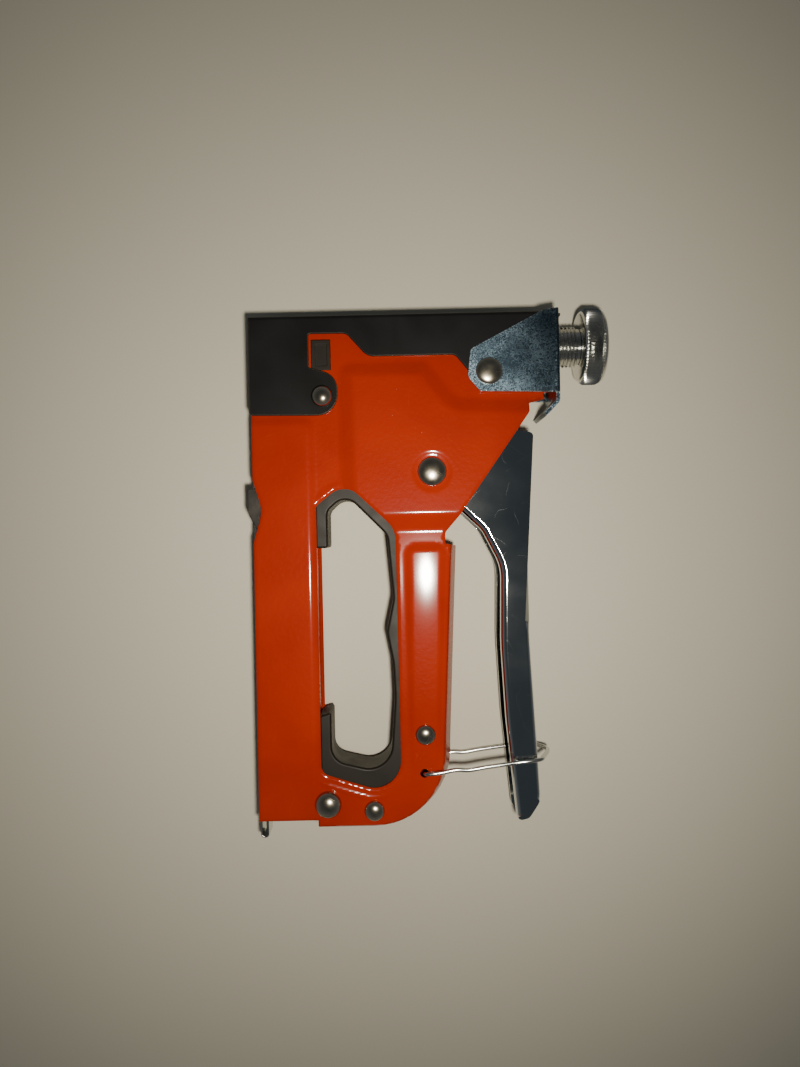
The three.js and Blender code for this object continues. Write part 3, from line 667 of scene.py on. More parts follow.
# %% Swept helix and adjusting screw
def coil(name, section, pitch, turns, start, w, steps=28):
    """A closed section of (radius, along) points swept along a helix round an axis along the height."""
    piece = line_piece(name, [(along, radius, 0) for radius, along in section], closed=True)
    apply_modifier(piece, "SCREW", axis="X", angle=2 * math.pi, screw_offset=pitch, iterations=turns,
                   steps=steps, render_steps=steps, use_merge_vertices=False)
    piece.location = (start, -w, 0)
    only(piece)
    bpy.ops.object.transform_apply(location=True, rotation=True, scale=True)
    in_edit(piece, lambda: bpy.ops.mesh.remove_doubles(threshold=0.0005),
            lambda: bpy.ops.mesh.fill_holes(sides=0))
    return face_out(piece)


def joined(piece, *others):
    """Several solids as one object."""
    only(piece)
    for other in others:
        other.select_set(True)
    bpy.ops.object.join()
    return piece


CORE_RADIUS = 6.1
THREAD = [(6.0, -0.6), (6.95, -0.1), (6.95, 0.1), (6.0, 0.6)]
THREAD_PITCH = 1.25
THREAD_TURNS = 13
THREAD_START = 95.9


def adjuster_screw():
    core = turned("adjuster_screw_turned", [
        (0, 94.7), (5.6, 94.7), (CORE_RADIUS, 95.4), (CORE_RADIUS, 112.85), (4, 112.85), (4, 119.9),
        (3.6, 120.3), (0, 120.3),
    ], "u", STEM_AXIS)
    thread = coil("thread", THREAD, THREAD_PITCH, THREAD_TURNS, THREAD_START, STEM_AXIS[1], 48)
    piece = joined(core, thread)
    soften(piece, 30)
    return stand_for(place(piece), "adjuster_screw", "bright_zinc")


adjuster_screw()

# %% Rivets
def rivet(name, slot="nickel"):
    """A shank with a domed head on each side."""
    u, w, shank, head, seat, top = RIVETS[name]
    dome = [(head * math.cos(math.radians(a)), seat + 0.45 + (top - seat - 0.45) * math.sin(math.radians(a)))
            for a in range(8, 90, 8)]
    near = [(shank, seat), (head - 0.35, seat), (head - 0.08, seat + 0.12), (head, seat + 0.4),
            *dome, (0, top)]
    far = [(r, -z) for r, z in reversed(near)]
    piece = turned(name + "_headed", far + near, "z", (u, w), steps=48)
    soften(piece, 40)
    return stand_for(place(piece), name, slot)


for name in RIVETS:
    rivet(name)

# %% [markdown]
# ## Lever
# The lever is a deep channel of thick sheet, chromed all over.  Its back is folded with a generous radius,
# which is where a polished channel shows its bright line, and its cheeks end in an open edge.  It starts as
# a solid plate with the inside cut away in two steps, which leave a lip turned in along the open edge.
# Then the outer edges of the lip and of the back are rounded.

# %% Lever
LEVER_HALF = 9.25
LEVER_SHEET = 1.2
LEVER_EDGE = [
    [95.3, 41, 1.5], [88.5, 39.8, 2], [72, 39.5, 6], [57, 31.5, 10], [50.6, 23.2, 3.6], [43.6, 24.6, 3.2],
    [46, 33.5, 4], [52, 50, 10], [54.6, 63.4, 9], [67, 63.5, 4], [77.5, 73.6, 10], [83.6, 86, 16],
    [83.0, 112, 60], [84.2, 138, 60], [87.3, 171.8, 1.6], [91.2, 170.9, 2.4], [95.2, 165, 7], [94.7, 152, 60],
    [92.6, 108, 80],
]
LEVER_HOLLOW = [
    [94.1, 35], [40, 15], [40, 70], [78, 178], [92, 178], [93.6, 163], [93.5, 152, 60], [91.4, 108, 80],
    [94.1, 41],
]
LEVER_ROLL = [
    [94.1, 35], [40, 15], [40, 61], [69.2, 61, 4], [80.1, 72.2, 10], [86.3, 85.8, 16], [85.7, 112, 60],
    [86.9, 138, 60], [89.3, 168], [91.6, 168], [93.6, 163], [93.5, 152, 60], [91.4, 108, 80], [94.1, 41],
]
ROLL_DEPTH = 3.6
LEVER_LIP = {"start": 63.3, "end": 170.6, "below": 89, "radius": 2.2}
LEVER_BACK = {"start": 42.6, "end": 165, "above": 91, "radius": 1.5}
LEVER_CUT_EDGE = 0.3
LIFT_PIN = (47.5, 27)


def lever():
    piece = plate("lever_channel", LEVER_EDGE, -LEVER_HALF, LEVER_HALF, step=4)
    cut(piece, plate("hollow", LEVER_HOLLOW, ROLL_DEPTH - LEVER_HALF, LEVER_HALF - ROLL_DEPTH, step=3),
        plate("wide_hollow", LEVER_ROLL, LEVER_SHEET - LEVER_HALF, LEVER_HALF - LEVER_SHEET, step=3))

    def on_rim(v, span):
        return close(abs(v.z), LEVER_HALF) and -span["end"] < v.y < -span["start"]

    bend(piece, lambda v: on_rim(v, LEVER_LIP) and v.x < LEVER_LIP["below"],
         LEVER_LIP["radius"], 8, clamp=False)
    bend(piece, lambda v: on_rim(v, LEVER_BACK) and v.x > LEVER_BACK["above"],
         LEVER_BACK["radius"], 6, clamp=False)
    cut(piece, pin("pivot_hole", *PIVOT, 3.3, -20, 20), pin("lift_hole", *LIFT_PIN, 1.55, -20, 20))
    clean(piece)
    round_edges(piece, LEVER_CUT_EDGE, 3, 50)
    soften(piece, 35)
    return stand_for(place(piece), "lever", "chrome")


lever()

# %% [markdown]
# ## Bent wire and coiled wire
# The latch is one length of wire: two arms that hook into the handle and a pointed cross bar behind the
# lever.  A curve with a round bevel follows a bent wire best, because its bends stay smooth and its thickness
# even; it is turned into a mesh once its path is right.  Springs are helices, so they use the same sweep as
# the thread.

# %% Wire along a path
def wire(name, points, radius, sides=4):
    """Round wire through points (u, w, z), as a closed mesh."""
    curve = bpy.data.curves.new(name, "CURVE")
    curve.dimensions = "3D"
    curve.bevel_depth = radius
    curve.bevel_resolution = sides
    curve.use_fill_caps = True
    curve.resolution_u = 8
    spline = curve.splines.new("BEZIER")
    spline.bezier_points.add(len(points) - 1)
    for knot, (u, w, z) in zip(spline.bezier_points, points):
        knot.co = (u, -w, z)
        knot.handle_left_type = knot.handle_right_type = "AUTO"
    piece = bpy.data.objects.new(name, curve)
    bpy.context.collection.objects.link(piece)
    only(piece)
    bpy.ops.object.convert(target="MESH")
    piece = bpy.context.object
    in_edit(piece, lambda: bpy.ops.mesh.remove_doubles(threshold=0.0005))
    return soften(face_out(piece), 50)


# %% Wire latch
LATCH_SIDE = 11.15
LATCH_BEND = 2.5
LATCH_ARM = 37.9
LATCH_TILT = 0.11
LATCH_KINKS = {11: -0.28, 14.5: 0.3, 20: 0.12}


def wire_latch():
    half = [
        (0, 7.2), (0, 9.4), (0.5, LATCH_SIDE - 0.5), (2, LATCH_SIDE), (6, LATCH_SIDE), (11, LATCH_SIDE),
        (14.5, LATCH_SIDE), (20, LATCH_SIDE), (30, LATCH_SIDE), (LATCH_ARM, LATCH_SIDE),
        (LATCH_ARM + 0.7 * LATCH_BEND, LATCH_SIDE - 0.3 * LATCH_BEND),
        (LATCH_ARM + LATCH_BEND, LATCH_SIDE - LATCH_BEND), (43.3, 0.9),
    ]
    route = half + [(reach, -z) for reach, z in reversed(half)]
    points = [(LATCH_HOLE[0] + reach * math.cos(LATCH_TILT) - kink * math.sin(LATCH_TILT),
               LATCH_HOLE[1] - reach * math.sin(LATCH_TILT) + kink * math.cos(LATCH_TILT), z)
              for reach, z, kink in ((reach, z, LATCH_KINKS.get(reach, 0)) for reach, z in route)]
    return stand_for(place(wire("wire_latch_bent", points, 0.72)), "wire_latch", "bright_zinc")


wire_latch()

# %% Springs
def ring_section(radius, wire_radius, sides=10):
    turns = [2 * math.pi * k / sides for k in range(sides)]
    return [(radius + wire_radius * math.cos(t), wire_radius * math.sin(t)) for t in turns]


def power_spring():
    low, high, turns = 53.55, 90.75, 8
    piece = coil("power_spring_wound", ring_section(6.3, 1.1), (high - low) / turns, turns, low, 10.6)
    soften(piece, 50)
    return stand_for(place(piece), "power_spring", "spring_steel")


def follower_spring():
    rod_height, front, rear, turns = 11.5, 17.7, 168.05, 22
    piece = coil("follower_spring_wound", ring_section(2.2, 0.35, 6), (rear - front) / turns, turns, 0, 0, 16)
    piece.rotation_euler = (0, 0, -math.pi / 2)
    piece.location = (rod_height, -front, 0)
    only(piece)
    bpy.ops.object.transform_apply(location=True, rotation=True, scale=True)
    soften(piece, 50)
    return stand_for(place(piece), "follower_spring", "spring_steel")


def lever_return_spring():
    radius, half, turns, steps = 5.9, 2.6, 3.36, 40
    points = [(PIVOT[0] + 30.5, PIVOT[1] + 16.5, -half)]
    for k in range(steps + 1):
        angle = 0.9 + 2 * math.pi * turns * k / steps
        points.append((PIVOT[0] + radius * math.cos(angle), PIVOT[1] - radius * math.sin(angle),
                       -half + 2 * half * k / steps))
    points.append((PIVOT[0] - 6.5, PIVOT[1] + 22, half))
    return stand_for(place(wire("lever_return_spring_wound", points, 0.6, 2)),
                     "lever_return_spring", "spring_steel")


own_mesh(power_spring())
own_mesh(follower_spring())
lever_return_spring()

# %% [markdown]
# ## Rubber and magazine pieces
# The hand hole is lined with a moulded grip, open beside the magazine.  It is a plate with a shaped hole
# and a wide soft rounding on every edge, since nothing moulded is sharp.  The magazine channel and the
# staple rail are narrow folded channels; the pull tab, the bumper and the catch are small pieces made the
# same way.

# %% Grip liner and bumper
LINER_OUTER = [[20.9, 62, 2], [31.4, 53.8, 8], [50.2, 71.7, 10], [50.4, 165.6, 11], [20.9, 156.4, 4]]
LINER_INNER = [
    [25.2, 66, 3.5], [31.4, 60.4, 5], [45.2, 74.5, 5], [46.9, 96, 8], [44.4, 107.5, 7], [46.3, 118, 9],
    [46.7, 130, 30], [44.6, 155.4, 8], [25, 150.6, 6],
]


def grip_liner():
    piece = plate("grip_liner_moulded", LINER_OUTER, -7.75, 7.75, step=6)
    cut(piece, plate("opening", LINER_INNER, -20, 20, step=6))
    cut(piece, plate("gap", [[10, 78.5], [28, 78.5], [28, 133.4], [10, 138.4]], -20, 20))
    clean(piece)
    round_edges(piece, 0.9, 4, 40)
    soften(piece, 50)
    return stand_for(place(piece), "grip_liner", "black_rubber")


def bumper():
    piece = block("bumper_moulded", (20.7, 28.0), (4.1, 18.3), 7.75)
    weld_on(piece, block("lugs", (21.1, 27.4), (8.2, 18.3), 8.6))
    cut(piece, *(block("dish", (22.3, 26.3), (9.6, 16.9), side * 9.4 + 1.1, side * 9.4 - 1.1)
                 for side in (1, -1)))
    clean(piece)
    round_edges(piece, 0.35, 3, 40)
    soften(piece, 50)
    return stand_for(place(piece), "bumper", "black_rubber")


grip_liner()
bumper()

# %% Magazine channel, staple rail, pull tab and catch
def folded_channel(name, top, sheet, w, half, low, radius):
    """A channel open towards the working face."""
    piece = block(name, (low, top), w, half)
    cut(piece, block("hollow", (low - 2, top - sheet), (w[0] - 2, w[1] + 2), half - sheet))
    bend(piece, lambda v: close(v.x, top) and close(abs(v.z), half), radius, 4)
    return bend(piece, lambda v: close(v.x, top - sheet) and close(abs(v.z), half - sheet),
                radius - sheet * 0.7, 3)


def magazine_channel():
    piece = folded_channel("magazine_channel_folded", 20.4, 0.8, (4.4, 168.5), 6.7, 0.3, 1.1)
    round_edges(piece, 0.15, 2, 50)
    soften(piece)
    return stand_for(place(piece), "magazine_channel", "bright_zinc")


def staple_rail():
    piece = folded_channel("staple_rail_folded", 17.5, 0.8, (4.7, 168.5), 4.8, 1.0, 1.0)
    cut(piece, block("tongue_slot", (15.5, 18.5), (11.2, 162.5), 1.3))
    clean(piece)
    round_edges(piece, 0.15, 2, 50)
    soften(piece)
    return stand_for(place(piece), "staple_rail", "bright_zinc")


def rail_pull_tab():
    piece = block("rail_pull_tab_bent", (0, 17.5), (168.8, 169.9), 4.8)
    weld_on(piece, plate("loop", [[-0.3, 168.8], [2.5, 168.8], [2.5, 177.5, 1.2], [-0.3, 177.5, 1.2]], -4, 4))
    cut(piece, plate("eye", [[0.25, 170.7, 0.3], [1.95, 170.7, 0.3],
                             [1.95, 176.9, 0.7], [0.25, 176.9, 0.7]], -5, 5))
    clean(piece)
    round_edges(piece, 0.22, 3, 50)
    soften(piece)
    return stand_for(place(piece), "rail_pull_tab", "bright_zinc")


def magazine_catch():
    piece = plate("magazine_catch_cut", [
        [-1.6, 57.8, 0.8], [-1.6, 66, 1.5], [1.2, 71.6, 1], [9, 71.6, 2], [9, 65.5, 2], [3, 62, 1.5],
        [3, 57.8, 0.6],
    ], 7.1, 8.3)
    cut(piece, pin("pin_hole", 6, 69, 1.5, 0, 20))
    clean(piece)
    round_edges(piece, 0.25, 3, 50)
    soften(piece)
    return stand_for(place(piece), "magazine_catch", "dark_steel")


magazine_channel()
staple_rail()
rail_pull_tab()
magazine_catch()

# %% [markdown]
# ## Effects that the finishes share
# Paint, plating and rubber all carry the same few kinds of detail: edges rubbed by handling, which the
# paints also use for a painted highlight, hair scratches, a slow cloudiness, a fine grain, and specks of
# dust.  Each is a node group made once, with its own knobs, and placed in the finishes with different
# values.  Every group works in millimetres of the piece's own space.

# %% Making a node group
def group(name, inputs, outputs):
    """An empty shader group with named sockets, and its node and link makers."""
    tree = bpy.data.node_groups.new(name, "ShaderNodeTree")
    for label, kind, value in inputs:
        socket = tree.interface.new_socket(label, in_out="INPUT", socket_type=kind)
        socket.default_value = value
    for label, kind in outputs:
        tree.interface.new_socket(label, in_out="OUTPUT", socket_type=kind)
    return tree, tree.nodes.new("NodeGroupInput"), tree.nodes.new("NodeGroupOutput")


def node(tree, kind, values=None, **settings):
    """A node with its settings, its inputs set or linked by name or number."""
    made = tree.nodes.new("ShaderNode" + kind)
    for key, value in settings.items():
        setattr(made, key, value)
    for key, value in (values or {}).items():
        socket = made.inputs[key]
        if isinstance(value, bpy.types.NodeSocket):
            tree.links.new(value, socket)
        else:
            socket.default_value = value
    return made


def maths(tree, operation, *values, clamp=False):
    made = node(tree, "Math", dict(enumerate(values)), operation=operation)
    made.use_clamp = clamp
    return made.outputs[0]


def in_millimetres(tree, stretch=(1, 1, 1), turn=(0, 0, 0)):
    """The piece's own space, in millimetres, turned and stretched."""
    spot = node(tree, "TexCoord").outputs["Object"]
    size = node(tree, "VectorMath", {0: spot, "Scale": 1000.0}, operation="SCALE").outputs[0]
    return node(tree, "Mapping", {"Vector": size, "Rotation": turn, "Scale": stretch}).outputs[0]


def band(tree, value, low, high):
    """0 below low, 1 above high, smooth between."""
    made = node(tree, "MapRange", {"Value": value, "From Min": low, "From Max": high},
                interpolation_type="SMOOTHSTEP")
    return made.outputs["Result"]


# %% Rubbed edges and painted edge highlights
FLOAT = "NodeSocketFloat"


def make_edge_wear_and_highlight():
    """Mask of outer edges, broken up so that no edge is marked all along: rubbed wear, and on the paints also
    a painted highlight.
    """
    tree, knobs, out = group("rubbed_edges", [("Width", FLOAT, 0.4), ("Breakup", FLOAT, 0.5)],
                             [("Mask", FLOAT)])
    radius = maths(tree, "MULTIPLY", knobs.outputs["Width"], 0.001)
    rounded_normal = node(tree, "Bevel", {"Radius": radius}, samples=4).outputs[0]
    true_normal = node(tree, "NewGeometry").outputs["Normal"]
    turn = node(tree, "VectorMath", {0: rounded_normal, 1: true_normal},
                operation="DOT_PRODUCT").outputs["Value"]
    bent = band(tree, maths(tree, "SUBTRACT", 1.0, turn), 0.03, 0.16)
    noise = node(tree, "TexNoise",
                 {"Vector": in_millimetres(tree), "Scale": 0.9, "Detail": 4.0}).outputs["Fac"]
    low = maths(tree, "MULTIPLY", knobs.outputs["Breakup"], 0.75)
    patches = node(tree, "MapRange", {"Value": noise, "From Min": maths(tree, "SUBTRACT", low, 0.05),
                                      "From Max": maths(tree, "ADD", low, 0.12)}).outputs["Result"]
    tree.links.new(maths(tree, "MULTIPLY", bent, patches, clamp=True), out.inputs["Mask"])
    return tree


# %% Hair scratches
def make_hair_scratches():
    """Mask of thin straight marks in three directions."""
    tree, knobs, out = group("hair_scratches", [("Spacing", FLOAT, 6.0), ("Fineness", FLOAT, 0.5)],
                             [("Mask", FLOAT)])
    total = None
    for turn, seed in ((0.5, 0.0), (1.45, 31.0), (2.5, 77.0)):
        flow = in_millimetres(tree, turn=(0.3, 0.2, turn))
        wobble = node(tree, "TexNoise", {"Vector": flow, "Scale": 0.12, "Detail": 1.0}).outputs["Fac"]
        lane = node(tree, "SeparateXYZ", {0: flow})
        across = maths(tree, "ADD", lane.outputs["Y"], maths(tree, "MULTIPLY", wobble, 9.0))
        line = maths(tree, "PINGPONG", maths(tree, "ADD", across, seed), knobs.outputs["Spacing"])
        thin = maths(tree, "MULTIPLY", knobs.outputs["Fineness"], 0.1)
        near = node(tree, "MapRange",
                    {"Value": line, "From Min": 0.0, "From Max": thin, "To Min": 1.0, "To Max": 0.0})
        patch = node(tree, "TexNoise", {"Vector": flow, "Scale": 0.16, "Detail": 2.0}).outputs["Fac"]
        mark = maths(tree, "MULTIPLY", near.outputs["Result"], band(tree, patch, 0.5, 0.6))
        total = mark if total is None else maths(tree, "MAXIMUM", total, mark)
    tree.links.new(total, out.inputs["Mask"])
    return tree


# %% Clouds, grain, spangle and dust
def make_clouds():
    tree, knobs, out = group("slow_clouds", [("Size", FLOAT, 20.0), ("Contrast", FLOAT, 0.5)],
                             [("Value", FLOAT)])
    scale = maths(tree, "DIVIDE", 1.0, knobs.outputs["Size"])
    noise = node(tree, "TexNoise",
                 {"Vector": in_millimetres(tree), "Scale": scale, "Detail": 5.0, "Distortion": 0.4})
    half = maths(tree, "MULTIPLY", knobs.outputs["Contrast"], 0.5)
    spread = node(tree, "MapRange", {
        "Value": noise.outputs["Fac"], "From Min": 0.3, "From Max": 0.7,
        "To Min": maths(tree, "SUBTRACT", 0.5, half), "To Max": maths(tree, "ADD", 0.5, half),
    })
    tree.links.new(spread.outputs["Result"], out.inputs["Value"])
    return tree


def make_fine_grain():
    """Height of a fine skin, such as orange peel in paint or the texture of moulded rubber."""
    tree, knobs, out = group("fine_grain", [("Size", FLOAT, 0.6), ("Roughness", FLOAT, 0.5)],
                             [("Height", FLOAT)])
    scale = maths(tree, "DIVIDE", 1.0, knobs.outputs["Size"])
    noise = node(tree, "TexNoise", {"Vector": in_millimetres(tree), "Scale": scale, "Detail": 3.0,
                                    "Roughness": knobs.outputs["Roughness"]})
    tree.links.new(noise.outputs["Fac"], out.inputs["Height"])
    return tree


def make_spangle():
    """Small crystals of a zinc coat, each with its own tone, and a height between them."""
    tree, knobs, out = group("zinc_spangle", [("Size", FLOAT, 0.4)], [("Tone", FLOAT), ("Height", FLOAT)])
    scale = maths(tree, "DIVIDE", 1.0, knobs.outputs["Size"])
    spot = in_millimetres(tree)
    cells = node(tree, "TexVoronoi", {"Vector": spot, "Scale": scale, "Randomness": 1.0}, feature="F1")
    tone = node(tree, "SeparateColor", {0: cells.outputs["Color"]}).outputs["Red"]
    drift = node(tree, "TexNoise", {"Vector": spot, "Scale": 0.11, "Detail": 3.0}).outputs["Fac"]
    lively = band(tree, drift, 0.2, 0.8)
    tree.links.new(maths(tree, "MULTIPLY", tone, maths(tree, "ADD", 0.35, lively)), out.inputs["Tone"])
    tree.links.new(tone, out.inputs["Height"])
    return tree


def make_dust():
    """Mask of sparse pale specks."""
    tree, knobs, out = group("dust_specks", [("Spacing", FLOAT, 2.5), ("Amount", FLOAT, 0.5)],
                             [("Mask", FLOAT)])
    scale = maths(tree, "DIVIDE", 1.0, knobs.outputs["Spacing"])
    cells = node(tree, "TexVoronoi", {"Vector": in_millimetres(tree), "Scale": scale}, feature="F1")
    pick = node(tree, "SeparateColor", {0: cells.outputs["Color"]})
    size = maths(tree, "MULTIPLY", pick.outputs["Green"], 0.045)
    speck = maths(tree, "LESS_THAN", cells.outputs["Distance"], size)
    chosen = maths(tree, "LESS_THAN", pick.outputs["Blue"], knobs.outputs["Amount"])
    tree.links.new(maths(tree, "MULTIPLY", speck, chosen), out.inputs["Mask"])
    return tree


EFFECTS = {
    "edges": make_edge_wear_and_highlight(), "scratches": make_hair_scratches(), "clouds": make_clouds(),
    "grain": make_fine_grain(), "spangle": make_spangle(), "dust": make_dust(),
}
print("effects:", ", ".join(EFFECTS))

# %% [markdown]
# ## Finishes
# A finish is one Principled shader with the effects wired to its colour, roughness and bump.  The numbers
# that are the same all over the surface, such as the coat's roughness, are set on the shader itself.

# %% A new finish
def new_finish(name, metallic, coat=0.0, coat_roughness=0.1, specular=0.5):
    material = bpy.data.materials.new(name)
    material.use_nodes = True
    tree = material.node_tree
    shader = tree.nodes["Principled BSDF"]
    shader.inputs["Metallic"].default_value = metallic
    shader.inputs["Coat Weight"].default_value = coat
    shader.inputs["Coat Roughness"].default_value = coat_roughness
    shader.inputs["Specular IOR Level"].default_value = specular
    return material, tree, shader


def effect(tree, name, **knobs):
    made = tree.nodes.new("ShaderNodeGroup")
    made.node_tree = EFFECTS[name]
    for key, value in knobs.items():
        made.inputs[key].default_value = value
    return made.outputs


def blend_colors(tree, factor, low, high):
    made = node(tree, "Mix", {"Factor": factor}, data_type="RGBA")
    for socket, value in ((made.inputs[6], low), (made.inputs[7], high)):
        if isinstance(value, bpy.types.NodeSocket):
            tree.links.new(value, socket)
        else:
            socket.default_value = (*value, 1)
    return made.outputs[2]


def blend_values(tree, factor, low, high):
    return node(tree, "MapRange", {"Value": factor, "To Min": low, "To Max": high}).outputs["Result"]


def wire_up(tree, shader, color, roughness, height, depth):
    """Feeds the shader; depth is the bump's real depth in millimetres."""
    bump = node(tree, "Bump", {"Height": height, "Strength": 1.0, "Distance": depth * 0.001})
    tree.links.new(color, shader.inputs["Base Color"])
    tree.links.new(roughness, shader.inputs["Roughness"])
    tree.links.new(bump.outputs["Normal"], shader.inputs["Normal"])


# %% Paints
def orange_paint():
    """Thick glossy stove enamel over steel: orange peel, a few hair marks, and cut edges painted lighter, for
    thin paint and a painted highlight.
    """
    material, tree, shader = new_finish("orange_enamel", 0.0, coat=0.6, coat_roughness=0.09, specular=0.03)
    clouds = effect(tree, "clouds", Size=26.0, Contrast=0.8)["Value"]
    scratches = effect(tree, "scratches", Spacing=11.0, Fineness=0.35)["Mask"]
    edges = effect(tree, "edges", Width=0.35, Breakup=0.62)["Mask"]
    dust = effect(tree, "dust", Spacing=3.0, Amount=0.25)["Mask"]
    paint = blend_colors(tree, clouds, (0.34, 0.015, 0.0008), (0.42, 0.023, 0.0016))
    marked = blend_colors(tree, maths(tree, "MULTIPLY", scratches, 0.25), paint, (0.8, 0.16, 0.05))
    dusty = blend_colors(tree, maths(tree, "MULTIPLY", dust, 0.6), marked, (0.75, 0.6, 0.45))
    # Lighter colour along the edges: thin paint there, and a painted highlight along them.
    color = blend_colors(tree, maths(tree, "MULTIPLY", edges, 0.55), dusty, (0.42, 0.13, 0.05))
    roughness = maths(tree, "ADD", blend_values(tree, clouds, 0.34, 0.44),
                      maths(tree, "MULTIPLY", scratches, 0.2))
    peel = effect(tree, "grain", Size=1.3, Roughness=0.35)["Height"]
    skin = effect(tree, "grain", Size=0.45, Roughness=0.5)["Height"]
    wire_up(tree, shader, color, roughness,
            maths(tree, "ADD", peel, maths(tree, "MULTIPLY", skin, 0.35)), 0.09)
    return material


def black_paint():
    """Satin powder coat with a tan line on the folded and cut edges, partly worn paint and partly a painted
    highlight.
    """
    material, tree, shader = new_finish("black_powder_coat", 0.0, specular=0.16)
    clouds = effect(tree, "clouds", Size=18.0, Contrast=0.9)["Value"]
    edges = effect(tree, "edges", Width=0.6, Breakup=0.35)["Mask"]
    scratches = effect(tree, "scratches", Spacing=9.0, Fineness=0.4)["Mask"]
    dust = effect(tree, "dust", Spacing=1.8, Amount=0.35)["Mask"]
    coat = blend_colors(tree, clouds, (0.007, 0.0068, 0.0068), (0.011, 0.0115, 0.0135))
    marked = blend_colors(tree, maths(tree, "MULTIPLY", scratches, 0.15), coat, (0.08, 0.075, 0.07))
    dusty = blend_colors(tree, maths(tree, "MULTIPLY", dust, 0.35), marked, (0.25, 0.23, 0.2))
    # The tan edge line is worn paint and a painted highlight along the edges.
    color = blend_colors(tree, maths(tree, "MULTIPLY", edges, 0.7), dusty, (0.26, 0.18, 0.11))
    roughness = blend_values(tree, clouds, 0.38, 0.5)
    skin = effect(tree, "grain", Size=0.28, Roughness=0.6)["Height"]
    wire_up(tree, shader, color, roughness, skin, 0.012)
    return material


# %% Plated and bare metals
def plated(name, dark, light, rough, marks, peel, spacing=7.0, clouds_size=14.0, scoring=0.6):
    """A plated or polished metal: cloudy tone, hair scratches, brighter rubbed edges and a faint skin."""
    material, tree, shader = new_finish(name, 1.0)
    clouds = effect(tree, "clouds", Size=clouds_size, Contrast=0.9)["Value"]
    scratches = effect(tree, "scratches", Spacing=spacing, Fineness=0.3)["Mask"]
    edges = effect(tree, "edges", Width=0.3, Breakup=0.45)["Mask"]
    dust = effect(tree, "dust", Spacing=2.2, Amount=0.25)["Mask"]
    tone = blend_colors(tree, clouds, dark, light)
    rubbed = blend_colors(tree, maths(tree, "MULTIPLY", edges, 0.35), tone, (0.85, 0.82, 0.76))
    color = blend_colors(tree, maths(tree, "MULTIPLY", dust, 0.4), rubbed, (0.5, 0.47, 0.4))
    base = blend_values(tree, clouds, rough[0], rough[1])
    marked = maths(tree, "ADD", base, maths(tree, "MULTIPLY", scratches, marks), clamp=True)
    skin = effect(tree, "grain", Size=0.9, Roughness=0.4)["Height"]
    height = maths(tree, "SUBTRACT", skin, maths(tree, "MULTIPLY", scratches, scoring))
    wire_up(tree, shader, color, marked, height, peel)
    return material


def galvanised():
    """Hot dip zinc with its fine bluish spangle, and painted shade that darkens it towards the top."""
    material, tree, shader = new_finish("galvanised_spangle", 1.0)
    spangle = effect(tree, "spangle", Size=0.26)
    clouds = effect(tree, "clouds", Size=16.0, Contrast=0.9)["Value"]
    scratches = effect(tree, "scratches", Spacing=6.0, Fineness=0.4)["Mask"]
    edges = effect(tree, "edges", Width=0.45, Breakup=0.3)["Mask"]
    zinc = blend_colors(tree, spangle["Tone"], (0.22, 0.35, 0.46), (0.50, 0.68, 0.84))
    shaded = blend_colors(tree, maths(tree, "MULTIPLY", clouds, 0.18), zinc, (0.16, 0.22, 0.28))
    # Painted shade: the zinc is darkened as the frame's X rises from 18 to 42 mm, towards the top of the gun.
    height = node(tree, "SeparateXYZ", {0: in_millimetres(tree)}).outputs["X"]
    painted_shade_high = maths(tree, "MULTIPLY", band(tree, height, 18.0, 42.0), 0.85)
    layered_tone = blend_colors(tree, painted_shade_high, shaded, (0.035, 0.055, 0.075))
    color = blend_colors(tree, maths(tree, "MULTIPLY", edges, 0.5), layered_tone, (0.9, 0.92, 0.92))
    tone = maths(tree, "MULTIPLY", spangle["Tone"], 0.2)
    roughness = maths(tree, "ADD", maths(tree, "ADD", 0.19, tone), maths(tree, "MULTIPLY", scratches, 0.1))
    wire_up(tree, shader, color, roughness, spangle["Height"], 0.012)
    return material


# %% Rubber
def black_rubber():
    """Moulded rubber with a fine skin and a soft sheen from handling."""
    material, tree, shader = new_finish("moulded_rubber", 0.0, specular=0.3)
    clouds = effect(tree, "clouds", Size=12.0, Contrast=0.9)["Value"]
    edges = effect(tree, "edges", Width=0.8, Breakup=0.4)["Mask"]
    dust = effect(tree, "dust", Spacing=1.6, Amount=0.4)["Mask"]
    rubber = blend_colors(tree, clouds, (0.009, 0.0065, 0.0045), (0.015, 0.011, 0.0075))
    layered_tone = blend_colors(tree, maths(tree, "MULTIPLY", edges, 0.4), rubber, (0.06, 0.048, 0.035))
    color = blend_colors(tree, maths(tree, "MULTIPLY", dust, 0.4), layered_tone, (0.3, 0.27, 0.22))
    roughness = blend_values(tree, clouds, 0.42, 0.6)
    skin = effect(tree, "grain", Size=0.22, Roughness=0.6)["Height"]
    wire_up(tree, shader, color, roughness, skin, 0.02)
    return material


FINISHES = {
    "orange_paint": orange_paint(),
    "black_paint": black_paint(),
    "galvanised": galvanised(),
    "bright_zinc": plated("bright_zinc_plate", (0.50, 0.51, 0.50), (0.66, 0.66, 0.63),
                          (0.13, 0.24), 0.2, 0.006),
    "chrome": plated("chrome_plate", (0.56, 0.59, 0.60), (0.66, 0.68, 0.68),
                     (0.04, 0.09), 0.10, 0.003, 5.0, 25.0, 0.08),
    "nickel": plated("dark_nickel", (0.42, 0.37, 0.29), (0.55, 0.49, 0.39),
                     (0.16, 0.25), 0.15, 0.006, 5.0, 4.0),
    "spring_steel": plated("spring_wire", (0.24, 0.21, 0.18), (0.40, 0.36, 0.31), (0.2, 0.3), 0.15, 0.01),
    "dark_steel": plated("blackened_steel", (0.045, 0.042, 0.04), (0.08, 0.075, 0.07),
                         (0.3, 0.45), 0.15, 0.01),
    "black_rubber": black_rubber(),
}

# %% Dressing every piece
slot_of_node = {part["node"]: part["material_slot"] for part in frame["record"]["subparts"]}


